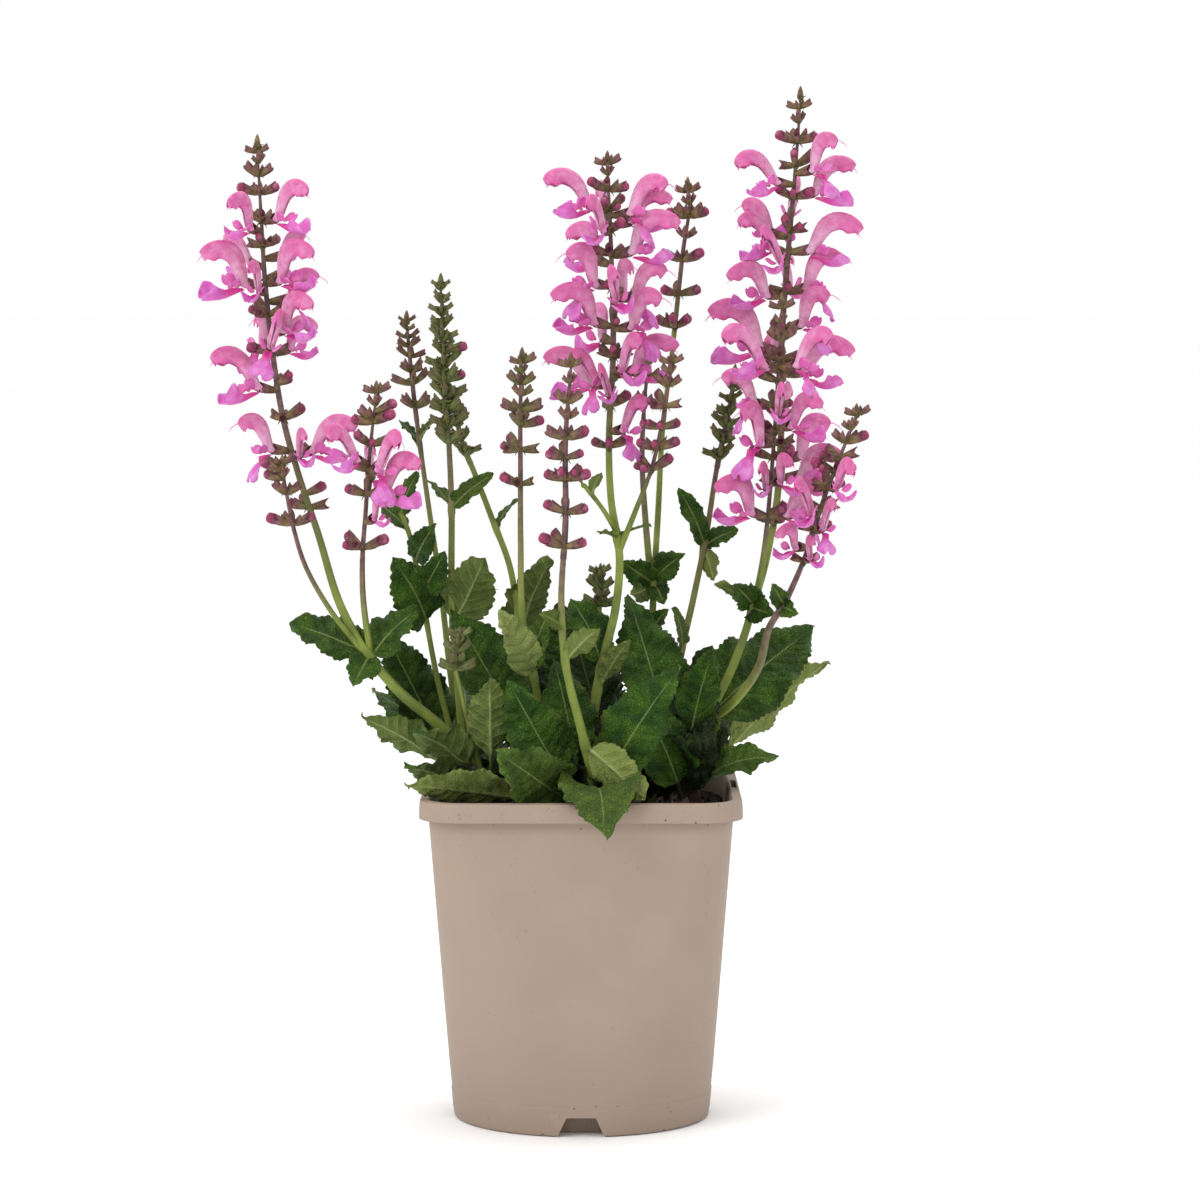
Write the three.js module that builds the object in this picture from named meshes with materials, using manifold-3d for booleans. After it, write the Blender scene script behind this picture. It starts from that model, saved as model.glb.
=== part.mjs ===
// Perennial salvia (meadow-sage type) in a square-rimmed nursery pot.
// Millimetres, +Z up. The origin is the middle of the pot's underside; the front of the pot is -Y.
//
// The pot holds soil. Leafy stems and leaf rosettes stand in plain holes in that soil, and each
// stem carries its flower heads: an axis with whorls of calyces, buds and two-lipped corollas.

import * as THREE from 'three';
import { mergeVertices } from 'three/addons/utils/BufferGeometryUtils.js';
import Module from 'manifold-3d';

const wasm = await Module();
wasm.setup();

// ---------------------------------------------------------------- driving dimensions

const CLEARANCE = 0.3;          // gap that separate pieces keep

const POT = {
  height: 157,
  rimHalf: 75,                  // half the outer width of the square rim
  rimBand: 9,                   // height of the rim's outer band
  rimCorner: 21,
  bodyHalfTop: 70.5,            // half width of the body just under the rim
  baseRadius: 61,
  wall: 1.8,
  floor: 2.4,
  cornerSteps: 5,
  innerSteps: 3,                // steps to a corner of the inside and of the soil
};
const NOTCH = { footWidth: 22.7, topWidth: 13.6, height: 9, depth: 13, skin: 1.6 };
// A slot for a plant label, cut down into the rim's right side.
const LABEL_SLOT = { inner: 70.9, outer: 73.5, front: -10, back: 20, depth: 6 };

const SOIL_TOP = 145;           // mean height of the soil's surface
const SOIL_RELIEF = 2.2;
const HOLE_DEPTH = 20;
const HOLE_SIDES = 5;

// A leaf: fold is how far the blade folds up along its midrib, tooth the depth of its teeth and
// wave that of its undulation as shares of the width; a pair of teeth takes toothPair of length.
const LEAF = {
  thickness: 1.2,
  stalkWidth: 1.9,
  fold: 0.22,
  tooth: 0.12,
  wave: 0.04,
  tip: 0.12,
  toothPair: 15,
};
// Reach and mouth radius of a grown calyx, its rise in degrees and its usual size, the turn
// between two in a whorl, and how near in height a flower stands in a calyx's place.
const CALYX = { reach: 10.5, radius: 2.5, rise: 8, size: 0.9, turn: 110, spread: 6 };
const BUD = { reach: 12.5, radius: 2.6, rise: 12 };
const COROLLA_RISE = 4;
// Young calyces: their share of a grown one's reach at the tip of the head and how it grows from
// whorl to whorl, how many stand in a whorl, and how far their tips point up.
const YOUNG = { share: 0.68, crowdedShare: 0.46, growth: 0.08, tips: 2, crowdedTips: 4, lift: 2.4 };

// ---------------------------------------------------------------- layout of the plant

// An axis runs from the soil to the tip of its flower head. Its head starts at headZ, and the
// stem's radius shrinks from radius[0] at the soil to radius[1] at the head.
const AXES = {
  a: {
    path: [[-47, -14, 148], [-50, -15, 164], [-63, -20, 184], [-84, -26, 203], [-99, -30, 221],
      [-112, -33, 245], [-122, -34, 278], [-132, -34, 309], [-139, -33, 336], [-146, -31, 391],
      [-148, -30, 424], [-150, -29, 462]],
    headZ: 284, radius: [3.7, 2.1],
  },
  a_low: {
    path: [[-101, -30, 222], [-116, -40, 243], [-127, -48, 264], [-132, -52, 281],
      [-135, -55, 297], [-138, -56, 315]],
    headZ: 279, radius: [1.7, 1.2],
  },
  a_side: {
    path: [[-98, -29, 220], [-101, -38, 247], [-101, -46, 267], [-99, -52, 291],
      [-97, -56, 316], [-93, -58, 349]],
    headZ: 268, radius: [2.0, 1.5],
  },
  b: {
    path: [[-51, 9, 148], [-57, 8, 175], [-62, 11, 206], [-67, 18, 248], [-72, 24, 281],
      [-76, 28, 308], [-80, 30, 339], [-84, 30, 380]],
    headZ: 328, radius: [2.4, 1.5],
  },
  b_leaf: {
    path: [[-57, 2, 148], [-60, 0, 174], [-68, -2, 207], [-75, -2, 245], [-81, -4, 276],
      [-85, -6, 287]],
    radius: [2.2, 1.4],
  },
  c: {
    path: [[-51, -5, 148], [-55, -6, 172], [-58, -8, 203], [-61, -8, 246], [-61, -8, 288],
      [-62, -8, 316], [-64, -8, 349], [-66, -8, 398]],
    headZ: 314, radius: [3.0, 1.8],
  },
  c_back: {
    path: [[-30, 12, 148], [-28, 13, 177], [-29, 20, 215], [-34, 30, 257], [-43, 38, 281],
      [-52, 42, 304], [-58, 44, 319], [-62, 44, 344]],
    headZ: 307, radius: [2.7, 1.8],
  },
  d: {
    path: [[-13, -23, 148], [-16, -24, 176], [-20, -30, 201], [-27, -36, 238], [-28, -38, 276],
      [-28, -40, 308], [-28, -40, 336], [-27, -40, 364]],
    headZ: 296, radius: [3.0, 1.7],
  },
  e: {
    path: [[6, -38, 148], [5, -43, 167], [1, -48, 185], [-7, -54, 219], [-9, -56, 249],
      [-7, -58, 286], [-7, -58, 323], [-4, -58, 362]],
    headZ: 268, radius: [3.5, 1.8],
  },
  f: {
    path: [[5, -8, 148], [5, -6, 181], [9, -6, 212], [16, -6, 241], [18, -6, 266], [14, -6, 293],
      [13, -6, 321], [15, -6, 363], [14, -6, 410], [12, -6, 455]],
    headZ: 311, radius: [3.5, 2.2],
  },
  f_right: {
    path: [[18, -6, 269], [25, -16, 287], [33, -26, 309], [37, -32, 327], [40, -36, 344],
      [43, -38, 363]],
    headZ: 302, radius: [1.8, 1.2],
  },
  f_left: { path: [[17, -6, 277], [10, -14, 289], [1, -22, 301]], radius: [1.5, 1.0] },
  g: {
    path: [[31, 19, 148], [31, 22, 178], [33, 30, 214], [35, 38, 254], [37, 46, 287],
      [39, 52, 323], [44, 58, 364], [49, 60, 410], [52, 60, 432], [50, 60, 444]],
    headZ: 366, radius: [2.9, 1.5],
  },
  g_low: {
    path: [[34, 38, 246], [31, 34, 276], [29, 32, 310], [30, 32, 336], [33, 32, 367]],
    headZ: 331, radius: [2.1, 1.3],
  },
  h: {
    path: [[41, 12, 148], [42, 13, 177], [46, 20, 210], [54, 32, 245], [60, 42, 273],
      [65, 48, 304], [70, 50, 328], [75, 50, 354]],
    headZ: 305, radius: [2.9, 1.7],
  },
  i: {
    path: [[33, -2, 148], [34, -1, 157], [43, 2, 170], [56, 6, 184], [67, 10, 202], [75, 12, 220],
      [82, 14, 242], [88, 16, 263], [93, 18, 291], [95, 20, 325], [95, 20, 363], [97, 20, 396],
      [101, 20, 443], [104, 20, 486]],
    headZ: 274, radius: [3.7, 2.1],
  },
  i_low: {
    path: [[83, 14, 244], [86, 4, 264], [88, -8, 288], [90, -14, 317], [92, -16, 352],
      [94, -16, 389]],
    headZ: 280, radius: [2.3, 1.4],
  },
  j: {
    path: [[57, 6, 185], [70, -4, 195], [83, -16, 214], [88, -24, 234], [95, -28, 246],
      [105, -34, 270], [112, -36, 293], [119, -38, 312], [125, -38, 327], [130, -38, 338]],
    headZ: 261, radius: [2.8, 1.5],
  },
  bud_mid: { path: [[8, 21, 148], [8, 24, 173], [7, 30, 214], [9, 32, 243], [9, 32, 259]],
    headZ: 236, radius: [1.8, 1.2] },
  bud_left: { path: [[-41, -23, 148], [-48, -27, 171], [-55, -36, 201], [-58, -42, 220],
    [-55, -44, 235]], headZ: 212, radius: [1.8, 1.2] },
};

// A leafy stem: its axes, the first of which stands in the soil, and its leaves. A leaf springs
// from one of the axes at height z and ends at its tip; arch lifts its middle, roll turns its face
// about its own length, and stalk is the bare share of its length.
const STEMS = {
  stem_a: {
    axes: ['a', 'a_low', 'a_side'],
    leaves: [
      { on: 'a', z: 222, tip: [-134, -24, 235], arch: 2, width: 22, roll: -50, stalk: 0.12 },
      { on: 'a', z: 220, tip: [-78, -24, 241], arch: 3, width: 21, roll: 45, stalk: 0.1 },
      { on: 'a', z: 221, tip: [-105, -44, 210], arch: 2, width: 16, roll: -35, stalk: 0.1 },
      { on: 'a', z: 153, tip: [-100, -34, 192], arch: 5, width: 21, roll: 40, stalk: 0.42 },
      { on: 'a', z: 150, tip: [-80, -50, 171], arch: 5, width: 18, roll: 30, stalk: 0.4 },
    ],
  },
  stem_b: {
    axes: ['b'],
    leaves: [
      { on: 'b', z: 151, tip: [-99, 42, 196], arch: 8, width: 28, roll: -15, stalk: 0.4 },
      { on: 'b', z: 150, tip: [-58, 80, 195], arch: 9, width: 30, roll: -5, stalk: 0.4 },
      { on: 'b', z: 320, tip: [-69, 22, 330], arch: 1, width: 7, roll: 0, stalk: 0.2 },
      { on: 'b', z: 316, tip: [-87, 37, 328], arch: 1, width: 7, roll: 0, stalk: 0.2 },
    ],
  },
  stem_b_leaf: {
    axes: ['b_leaf'],
    leaves: [
      { on: 'b_leaf', z: 234, tip: [-87, -17, 264], arch: 5, width: 25, roll: -110, stalk: 0.1 },
      { on: 'b_leaf', z: 248, tip: [-64, -30, 269], arch: 3, width: 15, roll: 145, stalk: 0.2 },
      { on: 'b_leaf', z: 263, tip: [-69, -14, 281], arch: 3, width: 13, roll: 115, stalk: 0.1 },
      { on: 'b_leaf', z: 286, tip: [-77, -12, 305], arch: 2, width: 11, roll: 95, stalk: 0.05 },
      { on: 'b_leaf', z: 278, tip: [-95, 4, 289], arch: 2, width: 9, roll: -35, stalk: 0.1 },
      { on: 'b_leaf', z: 152, tip: [-91, 2, 225], arch: 3, width: 30, roll: -60, stalk: 0.38 },
    ],
  },
  stem_c: {
    axes: ['c'],
    leaves: [
      { on: 'c', z: 233, tip: [-46, -22, 264], arch: 3, width: 25, roll: -50, stalk: 0.1 },
      { on: 'c', z: 289, tip: [-42, -16, 305], arch: 2, width: 10, roll: 75, stalk: 0.08 },
      { on: 'c', z: 289, tip: [-72, 0, 301], arch: 1, width: 8, roll: 0, stalk: 0.08 },
    ],
  },
  stem_c_back: {
    axes: ['c_back'],
    leaves: [
      { on: 'c_back', z: 223, tip: [-16, 30, 260], arch: 4, width: 25, roll: -85, stalk: 0.12 },
      { on: 'c_back', z: 152, tip: [-50, 52, 226], arch: 7, width: 30, roll: 0, stalk: 0.32 },
      { on: 'c_back', z: 276, tip: [-30, 42, 290], arch: 2, width: 8, roll: 0, stalk: 0.1 },
    ],
  },
  stem_d: {
    axes: ['d'],
    leaves: [
      { on: 'd', z: 212, tip: [-37, -52, 243], arch: 3, width: 17, roll: -120, stalk: 0.1 },
      { on: 'd', z: 214, tip: [-15, -40, 242], arch: 3, width: 14, roll: 100, stalk: 0.12 },
      { on: 'd', z: 151, tip: [-60, -22, 240], arch: 5, width: 32, roll: -60, stalk: 0.34 },
      { on: 'd', z: 151, tip: [-34, -12, 215], arch: 6, width: 28, roll: -30, stalk: 0.4 },
    ],
  },
  stem_e: {
    axes: ['e'],
    leaves: [
      { on: 'e', z: 152, tip: [44, -50, 215], arch: 5, width: 31, roll: 75, stalk: 0.18 },
      { on: 'e', z: 181, tip: [28, -70, 160], arch: 2, width: 20, roll: -100, stalk: 0.1 },
      { on: 'e', z: 221, tip: [7, -66, 236], arch: 2, width: 12, roll: -45, stalk: 0.1 },
      { on: 'e', z: 237, tip: [-18, -62, 243], arch: 1, width: 9, roll: -70, stalk: 0.1 },
      { on: 'e', z: 150, tip: [11, -94, 146], arch: 15, width: 37, roll: 0, stalk: 0.2 },
    ],
  },
  stem_f: {
    axes: ['f', 'f_right', 'f_left'],
    leaves: [
      { on: 'f', z: 213, tip: [-4, 2, 243], arch: 4, width: 22, roll: -25, stalk: 0.12 },
      { on: 'f', z: 202, tip: [22, -20, 227], arch: 2, width: 11, roll: -30, stalk: 0.2 },
      { on: 'f', z: 274, tip: [8, -14, 278], arch: 1, width: 7, roll: 0, stalk: 0.1 },
      { on: 'f', z: 275, tip: [32, -12, 281], arch: 1, width: 7, roll: 0, stalk: 0.1 },
      { on: 'f_left', z: 300, tip: [-9, -25, 307], arch: 1, width: 6, roll: 0, stalk: 0.15 },
      { on: 'f_left', z: 296, tip: [9, -28, 306], arch: 1, width: 6, roll: 0, stalk: 0.15 },
    ],
  },
  stem_g: {
    axes: ['g', 'g_low'],
    leaves: [
      { on: 'g', z: 250, tip: [20, 24, 261], arch: 2, width: 14, roll: -110, stalk: 0.12 },
      { on: 'g', z: 251, tip: [48, 30, 264], arch: 2, width: 15, roll: 75, stalk: 0.12 },
      { on: 'g', z: 249, tip: [25, 22, 246], arch: 1, width: 11, roll: 110, stalk: 0.12 },
      { on: 'g', z: 249, tip: [39, 26, 242], arch: 2, width: 11, roll: 15, stalk: 0.12 },
      { on: 'g', z: 225, tip: [41, 24, 238], arch: 2, width: 9, roll: 85, stalk: 0.3 },
    ],
  },
  stem_h: {
    axes: ['h'],
    leaves: [
      { on: 'h', z: 268, tip: [47, 32, 295], arch: 2, width: 12, roll: -90, stalk: 0.05 },
      { on: 'h', z: 267, tip: [74, 40, 275], arch: 2, width: 12, roll: 45, stalk: 0.1 },
      { on: 'h', z: 267, tip: [63, 28, 253], arch: 1, width: 9, roll: -125, stalk: 0.1 },
      { on: 'h', z: 219, tip: [44, 20, 239], arch: 2, width: 9, roll: -75, stalk: 0.1 },
    ],
  },
  stem_i: {
    axes: ['i', 'i_low', 'j'],
    leaves: [
      { on: 'i', z: 186, tip: [108, 36, 226], arch: 4, width: 40, roll: 45, stalk: 0.08 },
      { on: 'i', z: 241, tip: [64, 4, 252], arch: 2, width: 10, roll: 35, stalk: 0.05 },
      { on: 'i', z: 242, tip: [73, -2, 252], arch: 2, width: 14, roll: -130, stalk: 0.05 },
      { on: 'i', z: 240, tip: [90, 2, 238], arch: 2, width: 14, roll: 70, stalk: 0.05 },
      { on: 'j', z: 245, tip: [89, -42, 255], arch: 1, width: 9, roll: -145, stalk: 0.08 },
      { on: 'j', z: 244, tip: [100, -38, 242], arch: 1, width: 9, roll: 70, stalk: 0.08 },
    ],
  },
  stem_bud_mid: {
    axes: ['bud_mid'],
    leaves: [
      { on: 'bud_mid', z: 151, tip: [-6, 24, 232], arch: 7, width: 30, roll: -40, stalk: 0.3 },
    ],
  },
  stem_bud_left: {
    axes: ['bud_left'],
    leaves: [
      { on: 'bud_left', z: 150, tip: [-77, -46, 187], arch: 8, width: 24, roll: 30, stalk: 0.42 },
      { on: 'bud_left', z: 151, tip: [-42, -62, 211], arch: 2, width: 21, roll: 0, stalk: 0.45 },
    ],
  },
};

// A rosette is a short crown at foot, with leaves that spring from it just above the soil.
const ROSETTES = {
  rosette_front: {
    foot: [-1, -26],
    leaves: [
      { tip: [-36, -78, 180], arch: 5, width: 30, roll: -115, stalk: 0.34 },
      { tip: [-78, -62, 164], arch: 2, width: 22, roll: 45, stalk: 0.35 },
      { tip: [-32, -56, 209], arch: 4, width: 29, roll: -125, stalk: 0.3 },
      { tip: [-12, -36, 217], arch: 4, width: 26, roll: -105, stalk: 0.36 },
    ],
  },
  rosette_right: {
    foot: [48, -12],
    leaves: [
      { tip: [91, -10, 171], arch: 9, width: 20, roll: 30, stalk: 0.22 },
      { tip: [30, -34, 197], arch: 5, width: 28, roll: -115, stalk: 0.3 },
      { tip: [61, -6, 218], arch: 5, width: 28, roll: 35, stalk: 0.36 },
      { tip: [23, 14, 243], arch: 5, width: 32, roll: -25, stalk: 0.38 },
    ],
  },
  rosette_back: {
    foot: [-8, 36],
    leaves: [
      { tip: [-38, 84, 188], arch: 11, width: 32, roll: -10, stalk: 0.36 },
      { tip: [12, 90, 202], arch: 9, width: 32, roll: 10, stalk: 0.36 },
      { tip: [-10, 58, 236], arch: 6, width: 29, roll: 0, stalk: 0.4 },
    ],
  },
  rosette_back_right: {
    foot: [54, 28],
    leaves: [
      { tip: [118, 66, 208], arch: 6, width: 26, roll: -60, stalk: 0.36 },
      { tip: [72, 90, 185], arch: 11, width: 31, roll: 10, stalk: 0.36 },
      { tip: [28, 82, 196], arch: 9, width: 31, roll: -10, stalk: 0.4 },
      { tip: [63, 58, 215], arch: 5, width: 27, roll: 0, stalk: 0.42 },
    ],
  },
};

// A flower head: the depth of each whorl below the tip; how many whorls from the tip are still
// tight young buds, crowded where these stand four to a whorl; the open corollas as
// [depth, bearing, size] and the coloured buds as [depth, bearing]. A bearing is in degrees
// about the axis: 0 is +X and 270 is the front.
const HEADS = {
  head_a: {
    on: 'a', young: 4,
    whorls: [7, 12, 18, 26, 39, 50, 65, 82, 99, 114, 130, 147, 171],
    corollas: [[39, 320, 0.95], [44, 240, 0.9], [56, 45, 0.75], [69, 205, 1.1], [68, 320, 1.05],
      [76, 5, 0.8], [72, 255, 0.75], [91, 315, 1], [97, 270, 0.95], [117, 210, 1.05],
      [100, 45, 0.85], [145, 205, 0.9], [148, 290, 0.7], [147, 340, 0.95], [97, 120, 0.9],
      [60, 130, 0.85]],
    buds: [[26, 200], [26, 340], [99, 200], [165, 350], [171, 180]],
  },
  head_a_low: { on: 'a_low', young: 4, whorls: [3, 9, 17, 31], corollas: [],
    buds: [[6, 200], [10, 160], [31, 180], [31, 20]] },
  head_a_side: {
    on: 'a_side', young: 3, whorls: [4, 10, 17, 28, 40, 51, 76],
    corollas: [[37, 240, 0.95], [40, 300, 1], [51, 325, 1], [64, 300, 0.6], [44, 80, 0.85]],
    buds: [[13, 350], [18, 190], [18, 330], [28, 20], [51, 180], [76, 0]],
  },
  head_b: { on: 'b', young: 8, crowded: true, whorls: [4, 8, 12, 16, 21, 28, 34, 45],
    corollas: [], buds: [] },
  head_c: { on: 'c', young: 12, crowded: true,
    whorls: [5, 11, 17, 23, 29, 35, 42, 49, 56, 63, 70, 77],
    corollas: [], buds: [[35, 0], [49, 350]] },
  head_c_back: { on: 'c_back', young: 5, crowded: true, whorls: [5, 11, 17, 24, 31],
    corollas: [], buds: [] },
  head_d: { on: 'd', young: 6, whorls: [6, 11, 16, 21, 28, 35, 46, 62], corollas: [],
    buds: [[35, 0], [62, 180]] },
  head_e: { on: 'e', young: 5, whorls: [5, 13, 22, 29, 38, 47, 57, 72, 88], corollas: [],
    buds: [[38, 0], [57, 180], [57, 340], [72, 180], [72, 0], [88, 190], [88, 350]] },
  head_f: {
    on: 'f', young: 2, whorls: [5, 10, 17, 26, 36, 47, 63, 79, 95, 106, 118, 137],
    corollas: [[27, 205, 1], [29, 340, 1], [37, 250, 0.9], [48, 345, 1.05], [62, 215, 1.05],
      [69, 280, 0.9], [81, 205, 1.05], [82, 330, 1], [102, 295, 0.95], [104, 0, 0.95],
      [108, 230, 0.9], [109, 175, 1], [114, 265, 0.8], [130, 310, 0.9], [30, 100, 0.9],
      [52, 135, 1], [66, 60, 0.9], [88, 120, 0.95], [34, 355, 0.85], [68, 350, 0.9]],
    buds: [[17, 200], [17, 340], [36, 300], [47, 190], [137, 270]],
  },
  head_f_right: { on: 'f_right', young: 3, whorls: [5, 10, 16, 25, 35, 45, 55], corollas: [],
    buds: [[45, 0], [35, 190]] },
  head_g: { on: 'g', young: 5, whorls: [6, 12, 18, 28, 39, 55, 71], corollas: [],
    buds: [[18, 180], [18, 0], [39, 330]] },
  head_g_low: { on: 'g_low', young: 4, whorls: [5, 12, 20, 30], corollas: [], buds: [] },
  head_h: { on: 'h', young: 7, crowded: true, whorls: [5, 10, 16, 22, 28, 35, 43],
    corollas: [], buds: [] },
  head_i: {
    on: 'i', young: 2, whorls: [9, 16, 25, 36, 51, 67, 79, 95, 116, 134, 156, 168, 186, 205],
    corollas: [[40, 325, 0.9], [51, 0, 0.95], [45, 215, 0.95], [70, 145, 0.9], [77, 215, 0.9],
      [77, 355, 1.05], [96, 350, 1], [83, 250, 0.9], [98, 210, 1], [113, 335, 0.95],
      [124, 182, 1.2], [135, 5, 1.05], [60, 90, 0.9], [95, 75, 0.95], [130, 105, 1],
      [176, 20, 1.05], [158, 80, 0.9], [184, 340, 0.95], [203, 345, 0.95]],
    buds: [[25, 190], [25, 350], [51, 320], [116, 60]],
  },
  head_i_low: {
    on: 'i_low', young: 3, whorls: [6, 13, 21, 30, 40, 52, 64, 76, 88, 104],
    corollas: [[35, 225, 1.1], [34, 325, 1], [62, 320, 0.9], [57, 275, 0.8], [70, 230, 1.05],
      [88, 295, 0.8], [104, 215, 1.05], [52, 195, 0.9], [104, 330, 0.95], [92, 256, 0.7]],
    buds: [[30, 190], [30, 350], [76, 200], [76, 340], [102, 320]],
  },
  head_j: {
    on: 'j', young: 3, whorls: [4, 11, 17, 24, 30, 38, 47, 57, 72],
    corollas: [[51, 250, 0.9], [38, 290, 0.85], [58, 290, 0.75], [72, 285, 0.6],
      [66, 230, 0.75]],
    buds: [[17, 0], [30, 350], [30, 200]],
  },
  head_bud_mid: { on: 'bud_mid', young: 5, whorls: [3, 7, 11, 15, 19], corollas: [], buds: [] },
  head_bud_left: { on: 'bud_left', young: 5, whorls: [3, 7, 11, 15, 19], corollas: [], buds: [] },
};

// ---------------------------------------------------------------- colours and finishes

const FINISH = {
  pot: { color: 0xb19d8e, roughness: 0.6, metalness: 0 },
  soil: { color: 0x241a13, roughness: 1, metalness: 0 },
  leaf: { color: 0x3b5a2a, roughness: 0.7, metalness: 0 },
  stem: { color: 0x6f8a45, roughness: 0.65, metalness: 0 },
  bloom: { color: 0xd868b4, roughness: 0.6, metalness: 0 },
  calyx: { color: 0x5a4438, roughness: 0.75, metalness: 0 },
  green_head: { color: 0x4c5c38, roughness: 0.75, metalness: 0 },
};

// ---------------------------------------------------------------- solids

const vec = (x, y, z) => new THREE.Vector3(x, y, z);
const UP = vec(0, 0, 1);
const BACK = vec(0, 1, 0);
const DEGREE = Math.PI / 180;

// Repeatable draws between 0 and 1.
let drawCount = 0;
const seed = (value) => { drawCount = value * 97; };
const draw = () => {
  drawCount += 1;
  const wave = Math.sin(drawCount * 12.9898) * 43758.5453;
  return wave - Math.floor(wave);
};
const jitter = (amount) => (draw() - 0.5) * 2 * amount;

// A closed solid from points and triangles. Its faces are turned outwards if they point in.
function solidOf(points, triangles) {
  const vertProperties = new Float32Array(points.flatMap((p) => [p.x, p.y, p.z]));
  const build = (list) => new wasm.Manifold(new wasm.Mesh({
    numProp: 3, vertProperties, triVerts: new Uint32Array(list.flat()),
  }));
  const solid = build(triangles);
  return solid.volume() > 0 ? solid : build(triangles.map(([a, b, c]) => [a, c, b]));
}

// Skin over rings of points. Every ring has the same number of points, or one for a pointed end.
function loft(rings) {
  const points = rings.flat();
  const starts = [];
  rings.reduce((sum, ring) => { starts.push(sum); return sum + ring.length; }, 0);
  const triangles = [];
  for (let i = 0; i + 1 < rings.length; i += 1) {
    const [near, far] = [rings[i].length, rings[i + 1].length];
    const sides = Math.max(near, far);
    for (let k = 0; k < sides; k += 1) {
      const next = (k + 1) % sides;
      const a = starts[i] + (near > 1 ? k : 0);
      const b = starts[i] + (near > 1 ? next : 0);
      const c = starts[i + 1] + (far > 1 ? next : 0);
      const d = starts[i + 1] + (far > 1 ? k : 0);
      if (near > 1) triangles.push([a, b, c]);
      if (far > 1) triangles.push([a, c, d]);
    }
  }
  const last = rings.length - 1;
  for (let k = 1; k + 1 < rings[0].length; k += 1) triangles.push([0, k + 1, k]);
  for (let k = 1; k + 1 < rings[last].length; k += 1) {
    triangles.push([starts[last], starts[last] + k, starts[last] + k + 1]);
  }
  return solidOf(points, triangles);
}

const join = (solids) => wasm.Manifold.union(solids);

function meshOf(name, solid, finish) {
  const out = solid.getMesh();
  let geometry = new THREE.BufferGeometry();
  geometry.setAttribute('position', new THREE.BufferAttribute(new Float32Array(out.vertProperties), 3));
  geometry.setIndex(new THREE.BufferAttribute(new Uint32Array(out.triVerts), 1));
  geometry = mergeVertices(geometry);
  const mesh = new THREE.Mesh(geometry, new THREE.MeshStandardMaterial(finish));
  mesh.name = name;
  return mesh;
}

// ---------------------------------------------------------------- pot

// Outline of a rounded square at height z.
function roundedSquare(half, corner, z, steps = POT.cornerSteps) {
  const radius = Math.min(corner, half - 0.5);
  const inset = half - radius;
  const ring = [];
  for (let side = 0; side < 4; side += 1) {
    const [cx, cy] = [[inset, inset], [-inset, inset], [-inset, -inset], [inset, -inset]][side];
    for (let k = 0; k <= steps; k += 1) {
      const angle = (side + k / steps) * 90 * DEGREE;
      ring.push(vec(cx + radius * Math.cos(angle), cy + radius * Math.sin(angle), z));
    }
  }
  return ring;
}

const bodyTop = POT.height - POT.rimBand;

// The body tapers from a rounded square under the rim to a circle at the base.
function bodyRing(z, inset = 0, steps = POT.cornerSteps) {
  const rise = z / bodyTop;
  const half = POT.baseRadius + (POT.bodyHalfTop - POT.baseRadius) * rise - inset;
  const corner = POT.baseRadius + (POT.rimCorner - 4 - POT.baseRadius) * rise - inset;
  return roundedSquare(half, corner, z, steps);
}

// A wedge that is wide at the foot, for a drainage notch; grow widens it on every side.
function notchWedge(turn, grow) {
  const inner = POT.baseRadius - NOTCH.depth - grow;
  const outer = POT.rimHalf;
  const foot = NOTCH.footWidth / 2 + grow;
  const top = NOTCH.topWidth / 2 + grow;
  const outline = (y) => [vec(-foot, y, -1), vec(foot, y, -1),
    vec(top, y, NOTCH.height + grow), vec(-top, y, NOTCH.height + grow)];
  const rings = [outline(-inner), outline(-outer)];
  return loft(rings.map((ring) => ring.map((p) => p.applyAxisAngle(UP, turn * 90 * DEGREE))));
}

function makePot() {
  const outside = loft([bodyRing(0), bodyRing(bodyTop),
    roundedSquare(POT.rimHalf, POT.rimCorner, bodyTop + 0.6),
    roundedSquare(POT.rimHalf, POT.rimCorner, POT.height)]);
  const inside = loft([bodyRing(POT.floor, POT.wall, POT.innerSteps),
    bodyRing(bodyTop, POT.wall, POT.innerSteps),
    roundedSquare(POT.bodyHalfTop - POT.wall + 1, POT.rimCorner - 5, POT.height + 1,
      POT.innerSteps)]);
  const envelope = loft([bodyRing(0.01), bodyRing(bodyTop)]);
  let pot = outside.subtract(inside);
  for (let turn = 0; turn < 4; turn += 1) {
    pot = pot.add(notchWedge(turn, NOTCH.skin).intersect(envelope));
  }
  for (let turn = 0; turn < 4; turn += 1) pot = pot.subtract(notchWedge(turn, 0));
  const { inner, outer, front, back, depth } = LABEL_SLOT;
  const slot = (z) => [vec(inner, front, z), vec(outer, front, z), vec(outer, back, z),
    vec(inner, back, z)];
  return pot.subtract(loft([slot(POT.height - depth), slot(POT.height + 1)]));
}

// ---------------------------------------------------------------- soil

const soilHeight = (x, y) => SOIL_TOP + SOIL_RELIEF * (
  0.5 * Math.sin(x * 0.11 + 1) * Math.cos(y * 0.09) + 0.5 * Math.sin(x * 0.05 - y * 0.13 + 2));

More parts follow.
